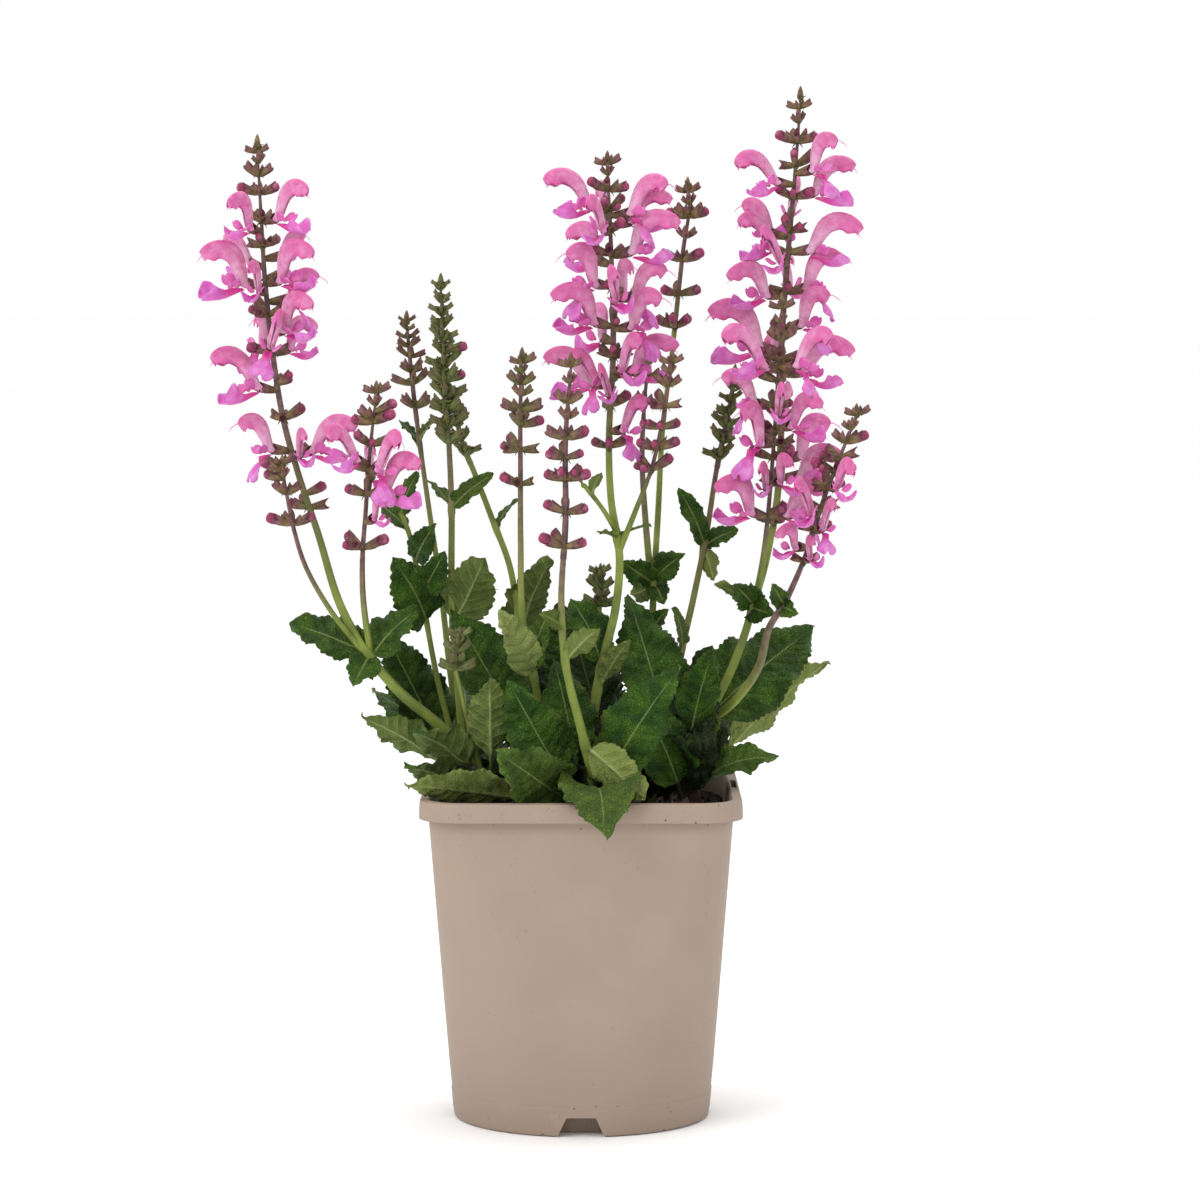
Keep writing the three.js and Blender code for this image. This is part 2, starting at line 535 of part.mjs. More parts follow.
function makeSoil(feet) {
  const inset = POT.wall + CLEARANCE;
  const steps = POT.innerSteps;
  const rings = [bodyRing(POT.floor + CLEARANCE, inset, steps)];
  const edge = bodyRing(SOIL_TOP - SOIL_RELIEF, inset, steps);
  for (const share of [1, 0.6]) {
    rings.push(edge.map((p) => vec(p.x * share, p.y * share, soilHeight(p.x * share, p.y * share))));
  }
  rings.push([vec(0, 0, soilHeight(0, 0))]);
  let soil = loft(rings);
  for (let turn = 0; turn < 4; turn += 1) {
    soil = soil.subtract(notchWedge(turn, NOTCH.skin + CLEARANCE));
  }
  const ring = ([x, y], radius, z) => Array.from({ length: HOLE_SIDES }, (_, k) => {
    const angle = (k + 0.5) * 2 * Math.PI / HOLE_SIDES;
    return vec(x + radius * Math.cos(angle), y + radius * Math.sin(angle), z);
  });
  for (const { at, radius } of feet) {
    const bore = (radius + CLEARANCE) / Math.cos(Math.PI / HOLE_SIDES) + 0.1;
    soil = soil.subtract(loft([ring(at, bore, SOIL_TOP - HOLE_DEPTH), ring(at, bore, SOIL_TOP + 10)]));
  }
  return soil;
}

// ---------------------------------------------------------------- stems

const curveOf = (path) => new THREE.CatmullRomCurve3(path.map((p) => vec(...p)));

// The point of an axis at height z.
function pointAt(axisName, z) {
  const curve = curveOf(AXES[axisName].path);
  let [low, high] = [0, 1];
  for (let step = 0; step < 30; step += 1) {
    const middle = (low + high) / 2;
    if (curve.getPoint(middle).z < z) low = middle; else high = middle;
  }
  return { point: curve.getPoint(low), share: low, curve };
}

// A square ring about a point of the curve: sage stems are four-sided.
function squareRing(curve, share, radius) {
  const along = curve.getTangent(share);
  const side = BACK.clone().cross(along).normalize();
  const other = along.clone().cross(side).normalize();
  const centre = curve.getPoint(share);
  return [0, 1, 2, 3].map((k) => {
    const angle = (k * 90 + 45) * DEGREE;
    return centre.clone().addScaledVector(side, radius * Math.cos(angle))
      .addScaledVector(other, radius * Math.sin(angle));
  });
}

// A tapered square tube along an axis, between two shares of its curve.
function tube(curve, from, to, radiusFrom, radiusTo, steps) {
  const rings = [];
  for (let k = 0; k <= steps; k += 1) {
    const t = k / steps;
    rings.push(squareRing(curve, from + (to - from) * t, radiusFrom + (radiusTo - radiusFrom) * t));
  }
  return rings;
}

const STEM_STEP = 42;           // length of stem to one step of its tube

function stemTube(axisName, standsInSoil) {
  const axis = AXES[axisName];
  const { curve } = pointAt(axisName, 0);
  const end = axis.headZ ? pointAt(axisName, axis.headZ - CLEARANCE).share : 1;
  const length = curve.getLength() * end;
  const rings = tube(curve, 0, end, axis.radius[0], axis.radius[1], Math.ceil(length / STEM_STEP) + 1);
  if (standsInSoil) {
    const foot = squareRing(curve, 0, axis.radius[0]);
    rings.unshift(foot.map((p) => vec(p.x, p.y, SOIL_TOP - HOLE_DEPTH + 1)));
    rings[1] = foot.map((p) => vec(p.x, p.y, axis.path[0][2]));
  }
  return loft(rings);
}

// ---------------------------------------------------------------- leaves

// Half width of the blade as a share of its greatest, from its base (0) to its tip (1).
const bladeShape = (u) => Math.max(0.05, Math.sin(Math.PI * (0.04 + 0.96 * u) ** 0.76) ** 0.6);

// A toothed leaf on a stalk: an arched blade folded up along its midrib, cut to teeth at the edge.
// Its section is a thin diamond, so the two faces meet in the sharp edge of the leaf.
function makeLeaf(base, { tip, arch, width, roll, stalk }) {
  const end = vec(...tip);
  const chord = end.clone().sub(base);
  const steps = 2 * Math.min(4, Math.max(1, Math.round(chord.length() / LEAF.toothPair)));
  chord.normalize();
  const side = chord.clone().cross(UP).normalize().applyAxisAngle(chord, roll * DEGREE);
  const face = side.clone().cross(chord);
  const middle = base.clone().add(end).multiplyScalar(0.5).addScaledVector(face, arch * 2);
  const curve = new THREE.QuadraticBezierCurve3(base, middle, end);
  const rings = [];
  for (let k = 0; k <= steps; k += 1) {
    const u = k / steps;
    const centre = curve.getPoint(stalk + (1 - stalk) * u);
    const normal = side.clone().cross(curve.getTangent(stalk + (1 - stalk) * u)).normalize();
    const tooth = k % 2 ? 1 + LEAF.tooth : 1 - LEAF.tooth;
    const half = Math.max(LEAF.stalkWidth / 2, width / 2 * bladeShape(u) * tooth);
    const lift = half * LEAF.fold + LEAF.wave * width * Math.sin(k * 2.1);
    rings.push(leafRing(centre, side, normal, half, lift, LEAF.thickness / 2));
  }
  const sole = side.clone().cross(curve.getTangent(0)).normalize();
  rings.unshift(leafRing(curve.getPoint(0), side, sole, LEAF.stalkWidth / 2, 0, LEAF.stalkWidth / 2));
  rings.push([curve.getPoint(1).addScaledVector(chord, width * LEAF.tip)]);
  return leafSkin(rings);
}

// Left edge, underside, right edge and upper side of the leaf at one place of its midrib.
const leafRing = (centre, side, normal, half, lift, thick) => [
  centre.clone().addScaledVector(side, -half).addScaledVector(normal, lift),
  centre.clone().addScaledVector(normal, -thick),
  centre.clone().addScaledVector(side, half).addScaledVector(normal, lift),
  centre.clone().addScaledVector(normal, thick),
];

// Skin of a leaf from its rings; the last is the pointed tip. Both faces are split alike.
function leafSkin(rings) {
  const triangles = [[0, 1, 3], [1, 2, 3]];
  const tip = (rings.length - 1) * 4;
  for (let n = 0; n + 4 < tip; n += 4) {
    const f = n + 4;
    triangles.push([n, f, f + 1], [n, f + 1, n + 1], [n + 1, f + 1, f + 2], [n + 1, f + 2, n + 2]);
    triangles.push([n, f + 3, f], [n, n + 3, f + 3], [n + 3, f + 2, f + 3], [n + 3, n + 2, f + 2]);
  }
  for (let k = 0; k < 4; k += 1) triangles.push([tip - 4 + k, tip, tip - 4 + (k + 1) % 4]);
  return solidOf(rings.flat(), triangles);
}

function makeStem({ axes, leaves }) {
  const solids = axes.map((name, index) => stemTube(name, index === 0));
  for (const leaf of leaves) solids.push(makeLeaf(pointAt(leaf.on, leaf.z).point, leaf));
  return join(solids);
}

const CROWN = { radius: 4.4, top: 156 };

function makeRosette({ foot, leaves }) {
  const ring = (radius, z) => Array.from({ length: 6 }, (_, k) => vec(
    foot[0] + radius * Math.cos(k * 60 * DEGREE), foot[1] + radius * Math.sin(k * 60 * DEGREE), z));
  const crown = loft([ring(CROWN.radius, SOIL_TOP - HOLE_DEPTH + 1), ring(CROWN.radius, SOIL_TOP + 3),
    ring(CROWN.radius * 0.7, CROWN.top)]);
  const base = vec(foot[0], foot[1], SOIL_TOP + 4);
  return join([crown, ...leaves.map((leaf) => makeLeaf(base.clone(), leaf))]);
}

// ---------------------------------------------------------------- flower heads

// Puts points given as [outwards, sideways, upwards] at a place, turned to a bearing and raised.
function placer(origin, bearing, rise) {
  const out = vec(Math.cos(bearing * DEGREE) * Math.cos(rise * DEGREE),
    Math.sin(bearing * DEGREE) * Math.cos(rise * DEGREE), Math.sin(rise * DEGREE));
  const across = UP.clone().cross(out).normalize();
  const above = out.clone().cross(across);
  return (u, v, w) => origin.clone().addScaledVector(out, u).addScaledVector(across, v)
    .addScaledVector(above, w);
}

const diamond = (put, [u, w], flank, high) => [put(u, flank, w), put(u, 0, w + high),
  put(u, -flank, w), put(u, 0, w - high)];

// A ridge on top and two edges below it.
const tent = (put, [u, w], flank, high) => [put(u, flank, w - high * 0.7), put(u, 0, w + high),
  put(u, -flank, w - high * 0.7)];

const ROOT = -0.7;              // calyces and buds start just past the middle of their axis

// A calyx that widens to its mouth.
const calyx = (put, length, radius) => loft([[put(ROOT, 0, 0)],
  tent(put, [length, 0.2], radius, radius * 1.1)]);

// A round coloured bud in its calyx.
const roundBud = (put, length, radius) => loft([[put(ROOT, 0, 0)],
  diamond(put, [length * 0.72, 0.8], radius, radius), [put(length, 0, 0.8)]]);

// A calyx and its two-lipped corolla in one skin: a tube that rises to a flattened, sickle-shaped
// hood, and a lower lip with two side lobes and a longer middle lobe. Lengths are for size 1.
const HOOD = [[4.4, 4, 2.2, 2.5], [9, 11.6, 2.1, 3.8], [15, 14.8, 1.6, 3.2]];
const HOOD_TIP = [20.8, 11.6];
const LIP = { side: [8.6, 4.4, 2.4], middle: [14, 4.2, -1.5], tip: [17, 0, -1.2] };

function bloom(put, size) {
  const at = (u, v, w) => put(CALYX.reach + u * size, v * size, w * size);
  const rings = [[put(ROOT, 0, 0)], tent(put, [CALYX.reach, 0.2], CALYX.radius, CALYX.radius),
    ...HOOD.map(([u, w, flank, high]) => [at(u, flank, w - high * 0.7), at(u, 0, w + high),
      at(u, -flank, w - high * 0.7)]),
    [at(HOOD_TIP[0], 0, HOOD_TIP[1])]];
  const mirrored = ([u, v, w]) => [u, -v, w];
  const lip = [LIP.side, LIP.middle, LIP.tip, mirrored(LIP.middle), mirrored(LIP.side)];
  const points = [...rings.flat(), ...lip.map((p) => at(...p))];
  const triangles = [];
  for (let k = 0; k < 3; k += 1) triangles.push([0, 1 + k, 1 + (k + 1) % 3]);
  for (let ring = 0; ring < HOOD.length; ring += 1) {
    for (let k = 0; k < 3; k += 1) {
      const [a, b] = [1 + ring * 3 + k, 1 + ring * 3 + (k + 1) % 3];
      const isMouth = ring === 0 && k === 2;
      if (!isMouth) triangles.push([a, b + 3, b], [a, a + 3, b + 3]);
    }
  }
  const end = 1 + HOOD.length * 3;
  const tip = end + 3;
  for (let k = 0; k < 3; k += 1) triangles.push([end + k, tip, end + (k + 1) % 3]);
  const [left, right] = [1, 3];
  const [throatLeft, throatRight] = [left + 3, right + 3];
  const [sideL, midL, lipTip, midR, sideR] = [0, 1, 2, 3, 4].map((k) => tip + 1 + k);
  triangles.push([throatLeft, sideL, midL], [throatLeft, midL, lipTip],
    [throatLeft, lipTip, throatRight], [throatRight, lipTip, midR], [throatRight, midR, sideR]);
  triangles.push([left, midL, sideL], [left, lipTip, midL], [left, right, lipTip],
    [right, midR, lipTip], [right, sideR, midR]);
  triangles.push([left, sideL, throatLeft], [right, throatRight, sideR]);
  return solidOf(points, triangles);
}

// Axis point below the tip of a head by the given depth.
const headPoint = (head, depth) => {
  const path = AXES[head.on].path;
  return pointAt(head.on, path[path.length - 1][2] - depth);
};

// Ring about the axis at one height. With a reach, every second point is the tip of a young bud.
function axisRing(head, depth, radius, sides, reach = 0, lift = 0, phase = 0) {
  const { point } = headPoint(head, depth);
  return Array.from({ length: sides }, (_, k) => {
    const isTip = reach > 0 && k % 2 === phase;
    const far = isTip ? reach * (1 + jitter(0.12)) : radius;
    const angle = k / sides * 2 * Math.PI + (isTip ? jitter(0.15) : 0);
    return vec(point.x + far * Math.cos(angle), point.y + far * Math.sin(angle),
      point.z + (isTip ? lift : 0));
  });
}

function grownShare(head, order) {
  const first = head.crowded ? YOUNG.crowdedShare : YOUNG.share;
  return Math.min(1, first + YOUNG.growth * order);
}

// The young top of a head: an axis whose whorls of pointed buds stand out of it like stars.
function youngTop(head) {
  const rings = [[headPoint(head, 0).point]];
  const sides = 2 * (head.crowded ? YOUNG.crowdedTips : YOUNG.tips);
  for (let order = 0; order < head.young; order += 1) {
    const depth = head.whorls[order];
    const next = head.whorls[order + 1] ?? depth + 4;
    const grown = grownShare(head, order);
    const reach = CALYX.reach * 0.92 * grown;
    rings.push(axisRing(head, depth, 0.8, sides, reach, YOUNG.lift * grown, order % 2));
    rings.push(axisRing(head, (depth + next) / 2, 1, sides));
  }
  return loft(rings);
}

const AXIS_SIDES = 3;

// The axis below the young buds, with a ring between each two whorls.
function rachis(head) {
  const { radius, headZ, path } = AXES[head.on];
  const foot = path[path.length - 1][2] - headZ - CLEARANCE / 2;
  const grown = head.whorls.slice(head.young - 1);
  const between = grown.slice(1).map((depth, k) => (depth + grown[k]) / 2);
  const depths = [grown[0] - 1, ...between, foot];
  return loft(depths.map((depth, k) => {
    const thick = 0.9 + (radius[1] * 1.1 - 0.9) * k / (depths.length - 1);
    return axisRing(head, depth, thick, AXIS_SIDES);
  }));
}

const angleBetween = (a, b) => Math.abs((((b - a) % 360) + 540) % 360 - 180);

function makeHead(head, index) {
  seed(index + 1);
  const solids = [youngTop(head), rachis(head)];
  const taken = [...head.corollas, ...head.buds];
  head.whorls.slice(head.young).forEach((depth, order) => {
    const { point } = headPoint(head, depth);
    const turn = order * 45 + jitter(12);
    for (let bearing = turn; bearing < turn + 300; bearing += CALYX.turn) {
      const isTaken = taken.some((one) => Math.abs(one[0] - depth) < CALYX.spread
        && angleBetween(one[1], bearing) < CALYX.turn / 2);
      const put = placer(point, bearing + jitter(10), CALYX.rise + jitter(8));
      const size = CALYX.size + jitter(0.1);
      if (!isTaken) solids.push(calyx(put, CALYX.reach * size, CALYX.radius * size));
    }
  });
  for (const [depth, bearing, size] of head.corollas) {
    solids.push(bloom(placer(headPoint(head, depth).point, bearing, COROLLA_RISE), size));
  }
  for (const [depth, bearing] of head.buds) {
    const put = placer(headPoint(head, depth).point, bearing, BUD.rise);
    solids.push(roundBud(put, BUD.reach, BUD.radius));
  }
  return join(solids);
}

// ---------------------------------------------------------------- the whole plant

const salvia = new THREE.Group();
const add = (name, solid, finish) => salvia.add(meshOf(name, solid, FINISH[finish]));

const feet = Object.values(STEMS).map(({ axes }) => {
  const axis = AXES[axes[0]];
  return { at: axis.path[0], radius: axis.radius[0] };
});
for (const { foot } of Object.values(ROSETTES)) feet.push({ at: foot, radius: CROWN.radius });

add('pot', makePot(), 'pot');
add('soil', makeSoil(feet), 'soil');
for (const [name, stem] of Object.entries(STEMS)) add(name, makeStem(stem), 'stem');
for (const [name, rosette] of Object.entries(ROSETTES)) add(name, makeRosette(rosette), 'leaf');
Object.entries(HEADS).forEach(([name, head], index) => {
  const finish = head.corollas.length ? 'bloom' : head.buds.length ? 'calyx' : 'green_head';
  add(name, makeHead(head, index), finish);
});

export default salvia;
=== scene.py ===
"""Perennial salvia in a square-rimmed nursery pot: its finished surfaces, in the CAD model's frame.

Sizes are in millimetres and angles in degrees. Meshes are in metres, and so are the places that a
material reads. +Z is up and -Y is the front.
"""

import math

import bpy
import numpy as np
from mathutils import Matrix, Vector, noise


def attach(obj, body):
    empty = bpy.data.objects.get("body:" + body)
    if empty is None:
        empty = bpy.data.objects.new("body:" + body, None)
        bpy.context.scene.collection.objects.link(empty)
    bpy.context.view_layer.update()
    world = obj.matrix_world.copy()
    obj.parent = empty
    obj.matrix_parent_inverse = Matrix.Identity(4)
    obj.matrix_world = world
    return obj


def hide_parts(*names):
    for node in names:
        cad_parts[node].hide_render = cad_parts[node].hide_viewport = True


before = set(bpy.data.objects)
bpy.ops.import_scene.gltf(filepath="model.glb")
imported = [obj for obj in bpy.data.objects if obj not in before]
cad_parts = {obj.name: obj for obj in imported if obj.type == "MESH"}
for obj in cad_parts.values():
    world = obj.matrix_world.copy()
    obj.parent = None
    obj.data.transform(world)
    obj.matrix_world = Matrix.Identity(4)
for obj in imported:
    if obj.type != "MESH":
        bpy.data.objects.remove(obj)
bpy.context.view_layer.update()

# ---------------------------------------------------------------------------------------------
# Pot. A nursery pot injection moulded in matt taupe polypropylene, in one shot: the body turns
# from a circle at the foot to a rounded square, the rim is a turned-out band with a label slot
# in its right side, and four drainage notches are pressed up into the foot.

MM = 0.001
POT_HEIGHT = 157
RIM_HALF = 75                   # half the outer width of the square rim
RIM_BAND = 9                    # height of the rim's outer band
RIM_CORNER = 21
BODY_HALF_TOP = 70.5            # half width of the body just under the rim
BODY_CORNER_TOP = 17            # radius of the body's corners there
MOUTH_CORNER = 16
BASE_RADIUS = 61
WALL = 1.8
FLOOR = 2.4
BODY_TOP = POT_HEIGHT - RIM_BAND
NOTCH_FOOT, NOTCH_TOP = 22.7, 13.6          # widths of a drainage notch at its foot and top
NOTCH_HEIGHT, NOTCH_DEPTH, NOTCH_SKIN = 9, 13, 1.6      # the skin is the plastic over a notch
STACKING_LINE = 13.8            # height of a faint ledge round the foot
LABEL_SLOT = (70.9, 73.5, -10, 20, 6)   # from and to across, from and to along the side, depth
CORNER_STEPS = 14


def rounded_square(half, corner, height):
    """Outline of a square with round corners, at one height."""
    turn = np.radians(np.linspace(0, 90, CORNER_STEPS + 1))
    arc = np.column_stack([np.cos(turn), np.sin(turn)]) * corner + (half - corner)
    sides = []
    for _ in range(4):
        sides.append(arc)
        arc = np.column_stack([-arc[:, 1], arc[:, 0]])
    outline = np.concatenate(sides)
    return np.column_stack([outline, np.full(len(outline), float(height))])


def body_ring(height, inset=0.0):
    """Outline of the pot's body, which is a circle at its foot and a rounded square on top."""
    rise = height / BODY_TOP
    half = BASE_RADIUS + (BODY_HALF_TOP - BASE_RADIUS) * rise - inset
    corner = BASE_RADIUS + (BODY_CORNER_TOP - BASE_RADIUS) * rise - inset
    return rounded_square(half, min(corner, half - 0.01), height)


def skin(rings):
    """Points and faces over rings of points that all have the same number of points."""
    count = len(rings[0])
    low = np.arange(count)
    high = (low + 1) % count
    faces = []
    for start in range(0, (len(rings) - 1) * count, count):
        faces += np.stack([start + low, start + high, start + high + count,
                           start + low + count], axis=1).tolist()
    faces.append(list(range(count))[::-1])
    faces.append(list(range((len(rings) - 1) * count, len(rings) * count)))
    return np.concatenate(rings), faces, {}


def combine(parts):
    """One set of points, faces and stored values out of several."""
    names = sorted({name for part in parts for name in part[2]})
    points, faces, start = [], [], 0
    layers = {name: [] for name in names}
    for part_points, part_faces, part_layers in parts:
        points.append(part_points)
        faces += [[index + start for index in face] for face in part_faces]
        for name in names:
            layers[name].append(part_layers.get(name, np.zeros(len(part_points))))
        start += len(part_points)
    return np.concatenate(points), faces, {name: np.concatenate(layers[name]) for name in names}


def new_piece(name, shape, finish=None):
    """An object out of points in millimetres, faces or edges, and values stored on the points."""
    points, faces, layers = shape
    mesh = bpy.data.meshes.new(name)
    mesh.from_pydata((np.asarray(points) * MM).tolist(), [face for face in faces if len(face) == 2],
                     [face for face in faces if len(face) > 2])
    for layer, values in layers.items():
        values = np.asarray(values, float)
        kind, field = ("FLOAT", "value") if values.ndim == 1 else ("FLOAT_VECTOR", "vector")
        mesh.attributes.new(layer, kind, "POINT").data.foreach_set(field, values.ravel())
    mesh.shade_smooth()
    if finish:
        mesh.materials.append(finish)
    piece = bpy.data.objects.new(name, mesh)
    bpy.context.scene.collection.objects.link(piece)
    return piece


def settle(piece):
    """Makes what the modifiers give the piece's own mesh, and takes the modifiers off."""
    depsgraph = bpy.context.evaluated_depsgraph_get()
    made = bpy.data.meshes.new_from_object(
        piece.evaluated_get(depsgraph), preserve_all_data_layers=True, depsgraph=depsgraph)
    piece.modifiers.clear()
    piece.data = made
    made.name = piece.name
    return piece


def carve(piece, tool):
    """Cuts the tool's shape out of the piece."""
    cut = piece.modifiers.new("carve", "BOOLEAN")
    cut.operation = "DIFFERENCE"
    cut.solver = "EXACT"
    cut.object = tool
    settle(piece)
    bpy.data.objects.remove(tool)
    return piece


def notch_wedges(grow):
    """Four wedges, wide at the foot, for the drainage notches; grow widens them all round."""
    parts = []
    for quarter in range(4):
        turn = math.radians(90 * quarter)
        spin = np.array([[math.cos(turn), -math.sin(turn), 0],
                         [math.sin(turn), math.cos(turn), 0], [0, 0, 1]])
        foot, top, high = NOTCH_FOOT / 2 + grow, NOTCH_TOP / 2 + grow, NOTCH_HEIGHT + grow
        rings = []
        for y in (-RIM_HALF, -(BASE_RADIUS - NOTCH_DEPTH - grow)):
            outline = [(-foot, y, -1), (foot, y, -1), (top, y, high), (-top, y, high)]
            rings.append(np.array(outline, float)[::-1] @ spin.T)
        parts.append(skin(rings))
    return combine(parts)


def colour(code):
    """Linear colour of a six-digit screen colour."""
    parts = [int(code[k:k + 2], 16) / 255 for k in (0, 2, 4)]
    return (*[c / 12.92 if c <= 0.04045 else ((c + 0.055) / 1.055) ** 2.4 for c in parts], 1.0)


class Graph:
    """A node tree that is built one node at a time."""

    def __init__(self, tree):
        self.tree = tree

    def node(self, kind, inputs=None, out=0, **settings):
        """Adds a node: first its settings, then what its sockets hold or are linked to."""
        made = self.tree.nodes.new(kind)
        for name, value in settings.items():
            setattr(made, name, value)
        for key, value in (inputs or {}).items():
            for source in value if isinstance(value, list) else [value]:
                if isinstance(source, Wire):
                    self.tree.links.new(source.socket, made.inputs[key])
                else:
                    made.inputs[key].default_value = source
        return Wire(self, made.outputs[out])


class Wire:
    """What comes out of a node. Arithmetic with it, such as 1 - mask, adds Math nodes."""

    def __init__(self, graph, socket):
        self.graph = graph
        self.socket = socket

    def math(self, operation, *terms):
        return self.graph.node("ShaderNodeMath", dict(enumerate([self, *terms])),
                               operation=operation)

    def __add__(self, other):
        return self.math("ADD", other)

    def __sub__(self, other):
        return self.math("SUBTRACT", other)

    def __rsub__(self, other):
        return self.graph.node("ShaderNodeMath", {0: other, 1: self}, operation="SUBTRACT")

    def __mul__(self, other):
        return self.math("MULTIPLY", other)

    __radd__ = __add__
    __rmul__ = __mul__

    def ramp(self, low, high):
        """0 at low and 1 at high, with soft ends; low may be the larger number."""
        return self.graph.node("ShaderNodeMapRange", {"Value": self, "From Min": low, "From Max": high},
                               interpolation_type="SMOOTHSTEP")

    def blend(self, first, second):
        """The first colour where this is 0 and the second where it is 1."""
        first, second = (colour(c) if isinstance(c, str) else c for c in (first, second))
        return self.graph.node("ShaderNodeMix", {0: self, 6: first, 7: second}, out=2,
                               data_type="RGBA")

    def coat(self, *coats):
        """This colour under others, each given as how much of it shows and its code."""
        base = self
        for share, code in coats:
            base = share.blend(base, code)
        return base

    def stored(self, *names):
        """Values stored on the mesh's points, as a finish sees them."""
        return [self.graph.node("ShaderNodeAttribute", out="Fac", attribute_name=name)
                for name in names]

    def height(self):
        """The Z of this place or direction."""
        return self.graph.node("ShaderNodeSeparateXYZ", {0: self}, out="Z")

    def cloud(self, per_metre, detail=3.0):
        """Soft noise between about 0.2 and 0.8 at this place."""
        return self.graph.node("ShaderNodeTexNoise",
                               {"Vector": self, "Scale": per_metre, "Detail": detail})

    def spots(self, per_metre, size):
        """Scattered round spots: 1 in a spot and 0 between; size is a share of their spacing."""
        near = self.graph.node("ShaderNodeTexVoronoi", {"Vector": self, "Scale": per_metre},
                               out="Distance")
        return near.ramp(size, size * 0.6)

    def relief(self, depth):
        """A normal that shows this, from 0 to 1, as relief of the depth in millimetres."""
        return self.graph.node("ShaderNodeBump",
                               {"Strength": 1.0, "Distance": depth * MM, "Height": self}, out="Normal")


def make_finish(name, recipe, **fixed):
    """A material. From the place on the piece, its recipe gives the colour, roughness and relief
    that vary over the surface; fixed is the same all over, by socket with _ for a space."""
    finish = bpy.data.materials.new(name)
    finish.use_nodes = True
    tree = finish.node_tree
    shader = tree.nodes["Principled BSDF"]
    place = Graph(tree).node("ShaderNodeTexCoord", out="Object")
    for socket, wire in zip(("Base Color", "Roughness", "Normal"), recipe(place)):
        tree.links.new(wire.socket, shader.inputs[socket])
    for socket, value in fixed.items():
        shader.inputs[socket.replace("_", " ")].default_value = value
    return finish


def taupe_plastic(place):
    """Matt mottled plastic, with a painted shadow under the rim and specks of soil near foot and rim.
    """
    height = place.height()
    mottle = place.cloud(30)
    grain = place.cloud(1500, 2.0)
    # Painted shadow: a darker band just under the rim's overhang.
    lip = (height.ramp((BODY_TOP - 7) * MM, BODY_TOP * MM)
           - height.ramp(BODY_TOP * MM, (BODY_TOP + 0.4) * MM))
    dusty = height.ramp(30 * MM, 0) + height.ramp(135 * MM, 150 * MM)
    dirt = place.spots(190, 0.13) * place.cloud(55).ramp(0.48, 0.6)
    fine_dirt = place.spots(520, 0.16) * place.cloud(70).ramp(0.5, 0.6)
    specks = (dirt * (dusty * 0.8 + 0.2) + fine_dirt * dusty).math("MINIMUM", 1.0)
    scuff = place.cloud(140).ramp(0.64, 0.8) * 0.08
    body = mottle.ramp(0.3, 0.7).blend("968474", "9A8878").coat(
        (height.ramp(70 * MM, 0) * 0.5, "8F7C6E"), (lip * 0.35, "75625A"), (scuff, "B5A698"),
        (specks * 0.85, "3A2A22"))
    return body, 0.52 + mottle * 0.16, (grain * 0.7 + mottle * 0.3).relief(0.05)


pot_outside = [body_ring(height, inset) for height, inset in (
    (0, 1.0), (0.35, 0.3), (1.1, 0), (STACKING_LINE - 0.4, 0), (STACKING_LINE, 0.3),
    (STACKING_LINE + 14, 0.1), (60, 0), (90, 0), (120, 0), (BODY_TOP - 1.0, 0))]
pot_outside += [rounded_square(BODY_HALF_TOP + 0.35, BODY_CORNER_TOP + 0.4, BODY_TOP - 0.25)]
pot_outside += [rounded_square(RIM_HALF - gap, RIM_CORNER - gap, BODY_TOP + rise)
                for gap, rise in ((1.0, -0.2), (0.25, 0.05), (0, 0.7), (0.15, 5.0), (0.4, 8.2),
                                  (0.75, 8.75), (1.4, 9.0))]
pot_mouth = [body_ring(height, WALL + inset) for height, inset in (
    (FLOOR, 2.5), (FLOOR + 0.8, 0.6), (FLOOR + 2.5, 0), (75, 0), (BODY_TOP, 0))]
pot_mouth += [rounded_square(BODY_HALF_TOP - WALL + grow, MOUTH_CORNER, POT_HEIGHT + rise)
              for grow, rise in ((0.75, -1.6), (0.95, -0.8), (1.6, 0.0), (2.2, 1.0))]
left, right, front, back, depth = LABEL_SLOT
slot_rings = [np.array([(left, front, z), (right, front, z), (right, back, z), (left, back, z)],
                       float) for z in (POT_HEIGHT - depth, POT_HEIGHT + 1)]
# The hollow leaves a skin over each notch. It is cut from the shell before the notches are.
mouth = carve(new_piece("pot_mouth", skin(pot_mouth)), new_piece("skins", notch_wedges(NOTCH_SKIN)))
pot = carve(new_piece("pot_shell", skin(pot_outside)), mouth)
carve(pot, new_piece("wedges", notch_wedges(0)))
carve(pot, new_piece("label_slot", skin(slot_rings)))
pot.data.shade_smooth()
pot.data.set_sharp_from_angle(angle=math.radians(35))
pot.data.materials.clear()
pot.data.materials.append(make_finish("taupe_plastic", taupe_plastic))
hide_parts("pot")
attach(pot, "root")

# ---------------------------------------------------------------------------------------------
# Soil. Damp dark peat compost, filled to a finger's breadth below the rim and settled into
# crumbs and short fibres; the crumbs lie loose on its top.

SOIL_TOP = 145
SOIL_RELIEF = 2.2
SOIL_GAP = 0.3                  # between the soil and the pot
SOIL_RINGS = 26
LUMPS, EDGE_LUMPS = 1.3, 0.3    # how high the soil lies in lumps, and along its edge
CRUMBS = {"Density": 80000, "Smallest": 0.35 * MM, "Largest": 2.0 * MM, "Seed": 5}


def soil_height(x, y):
    """Height of the settled soil under a point."""
    return SOIL_TOP + SOIL_RELIEF * (0.5 * np.sin(x * 0.11 + 1) * np.cos(y * 0.09)
                                     + 0.5 * np.sin(x * 0.05 - y * 0.13 + 2))


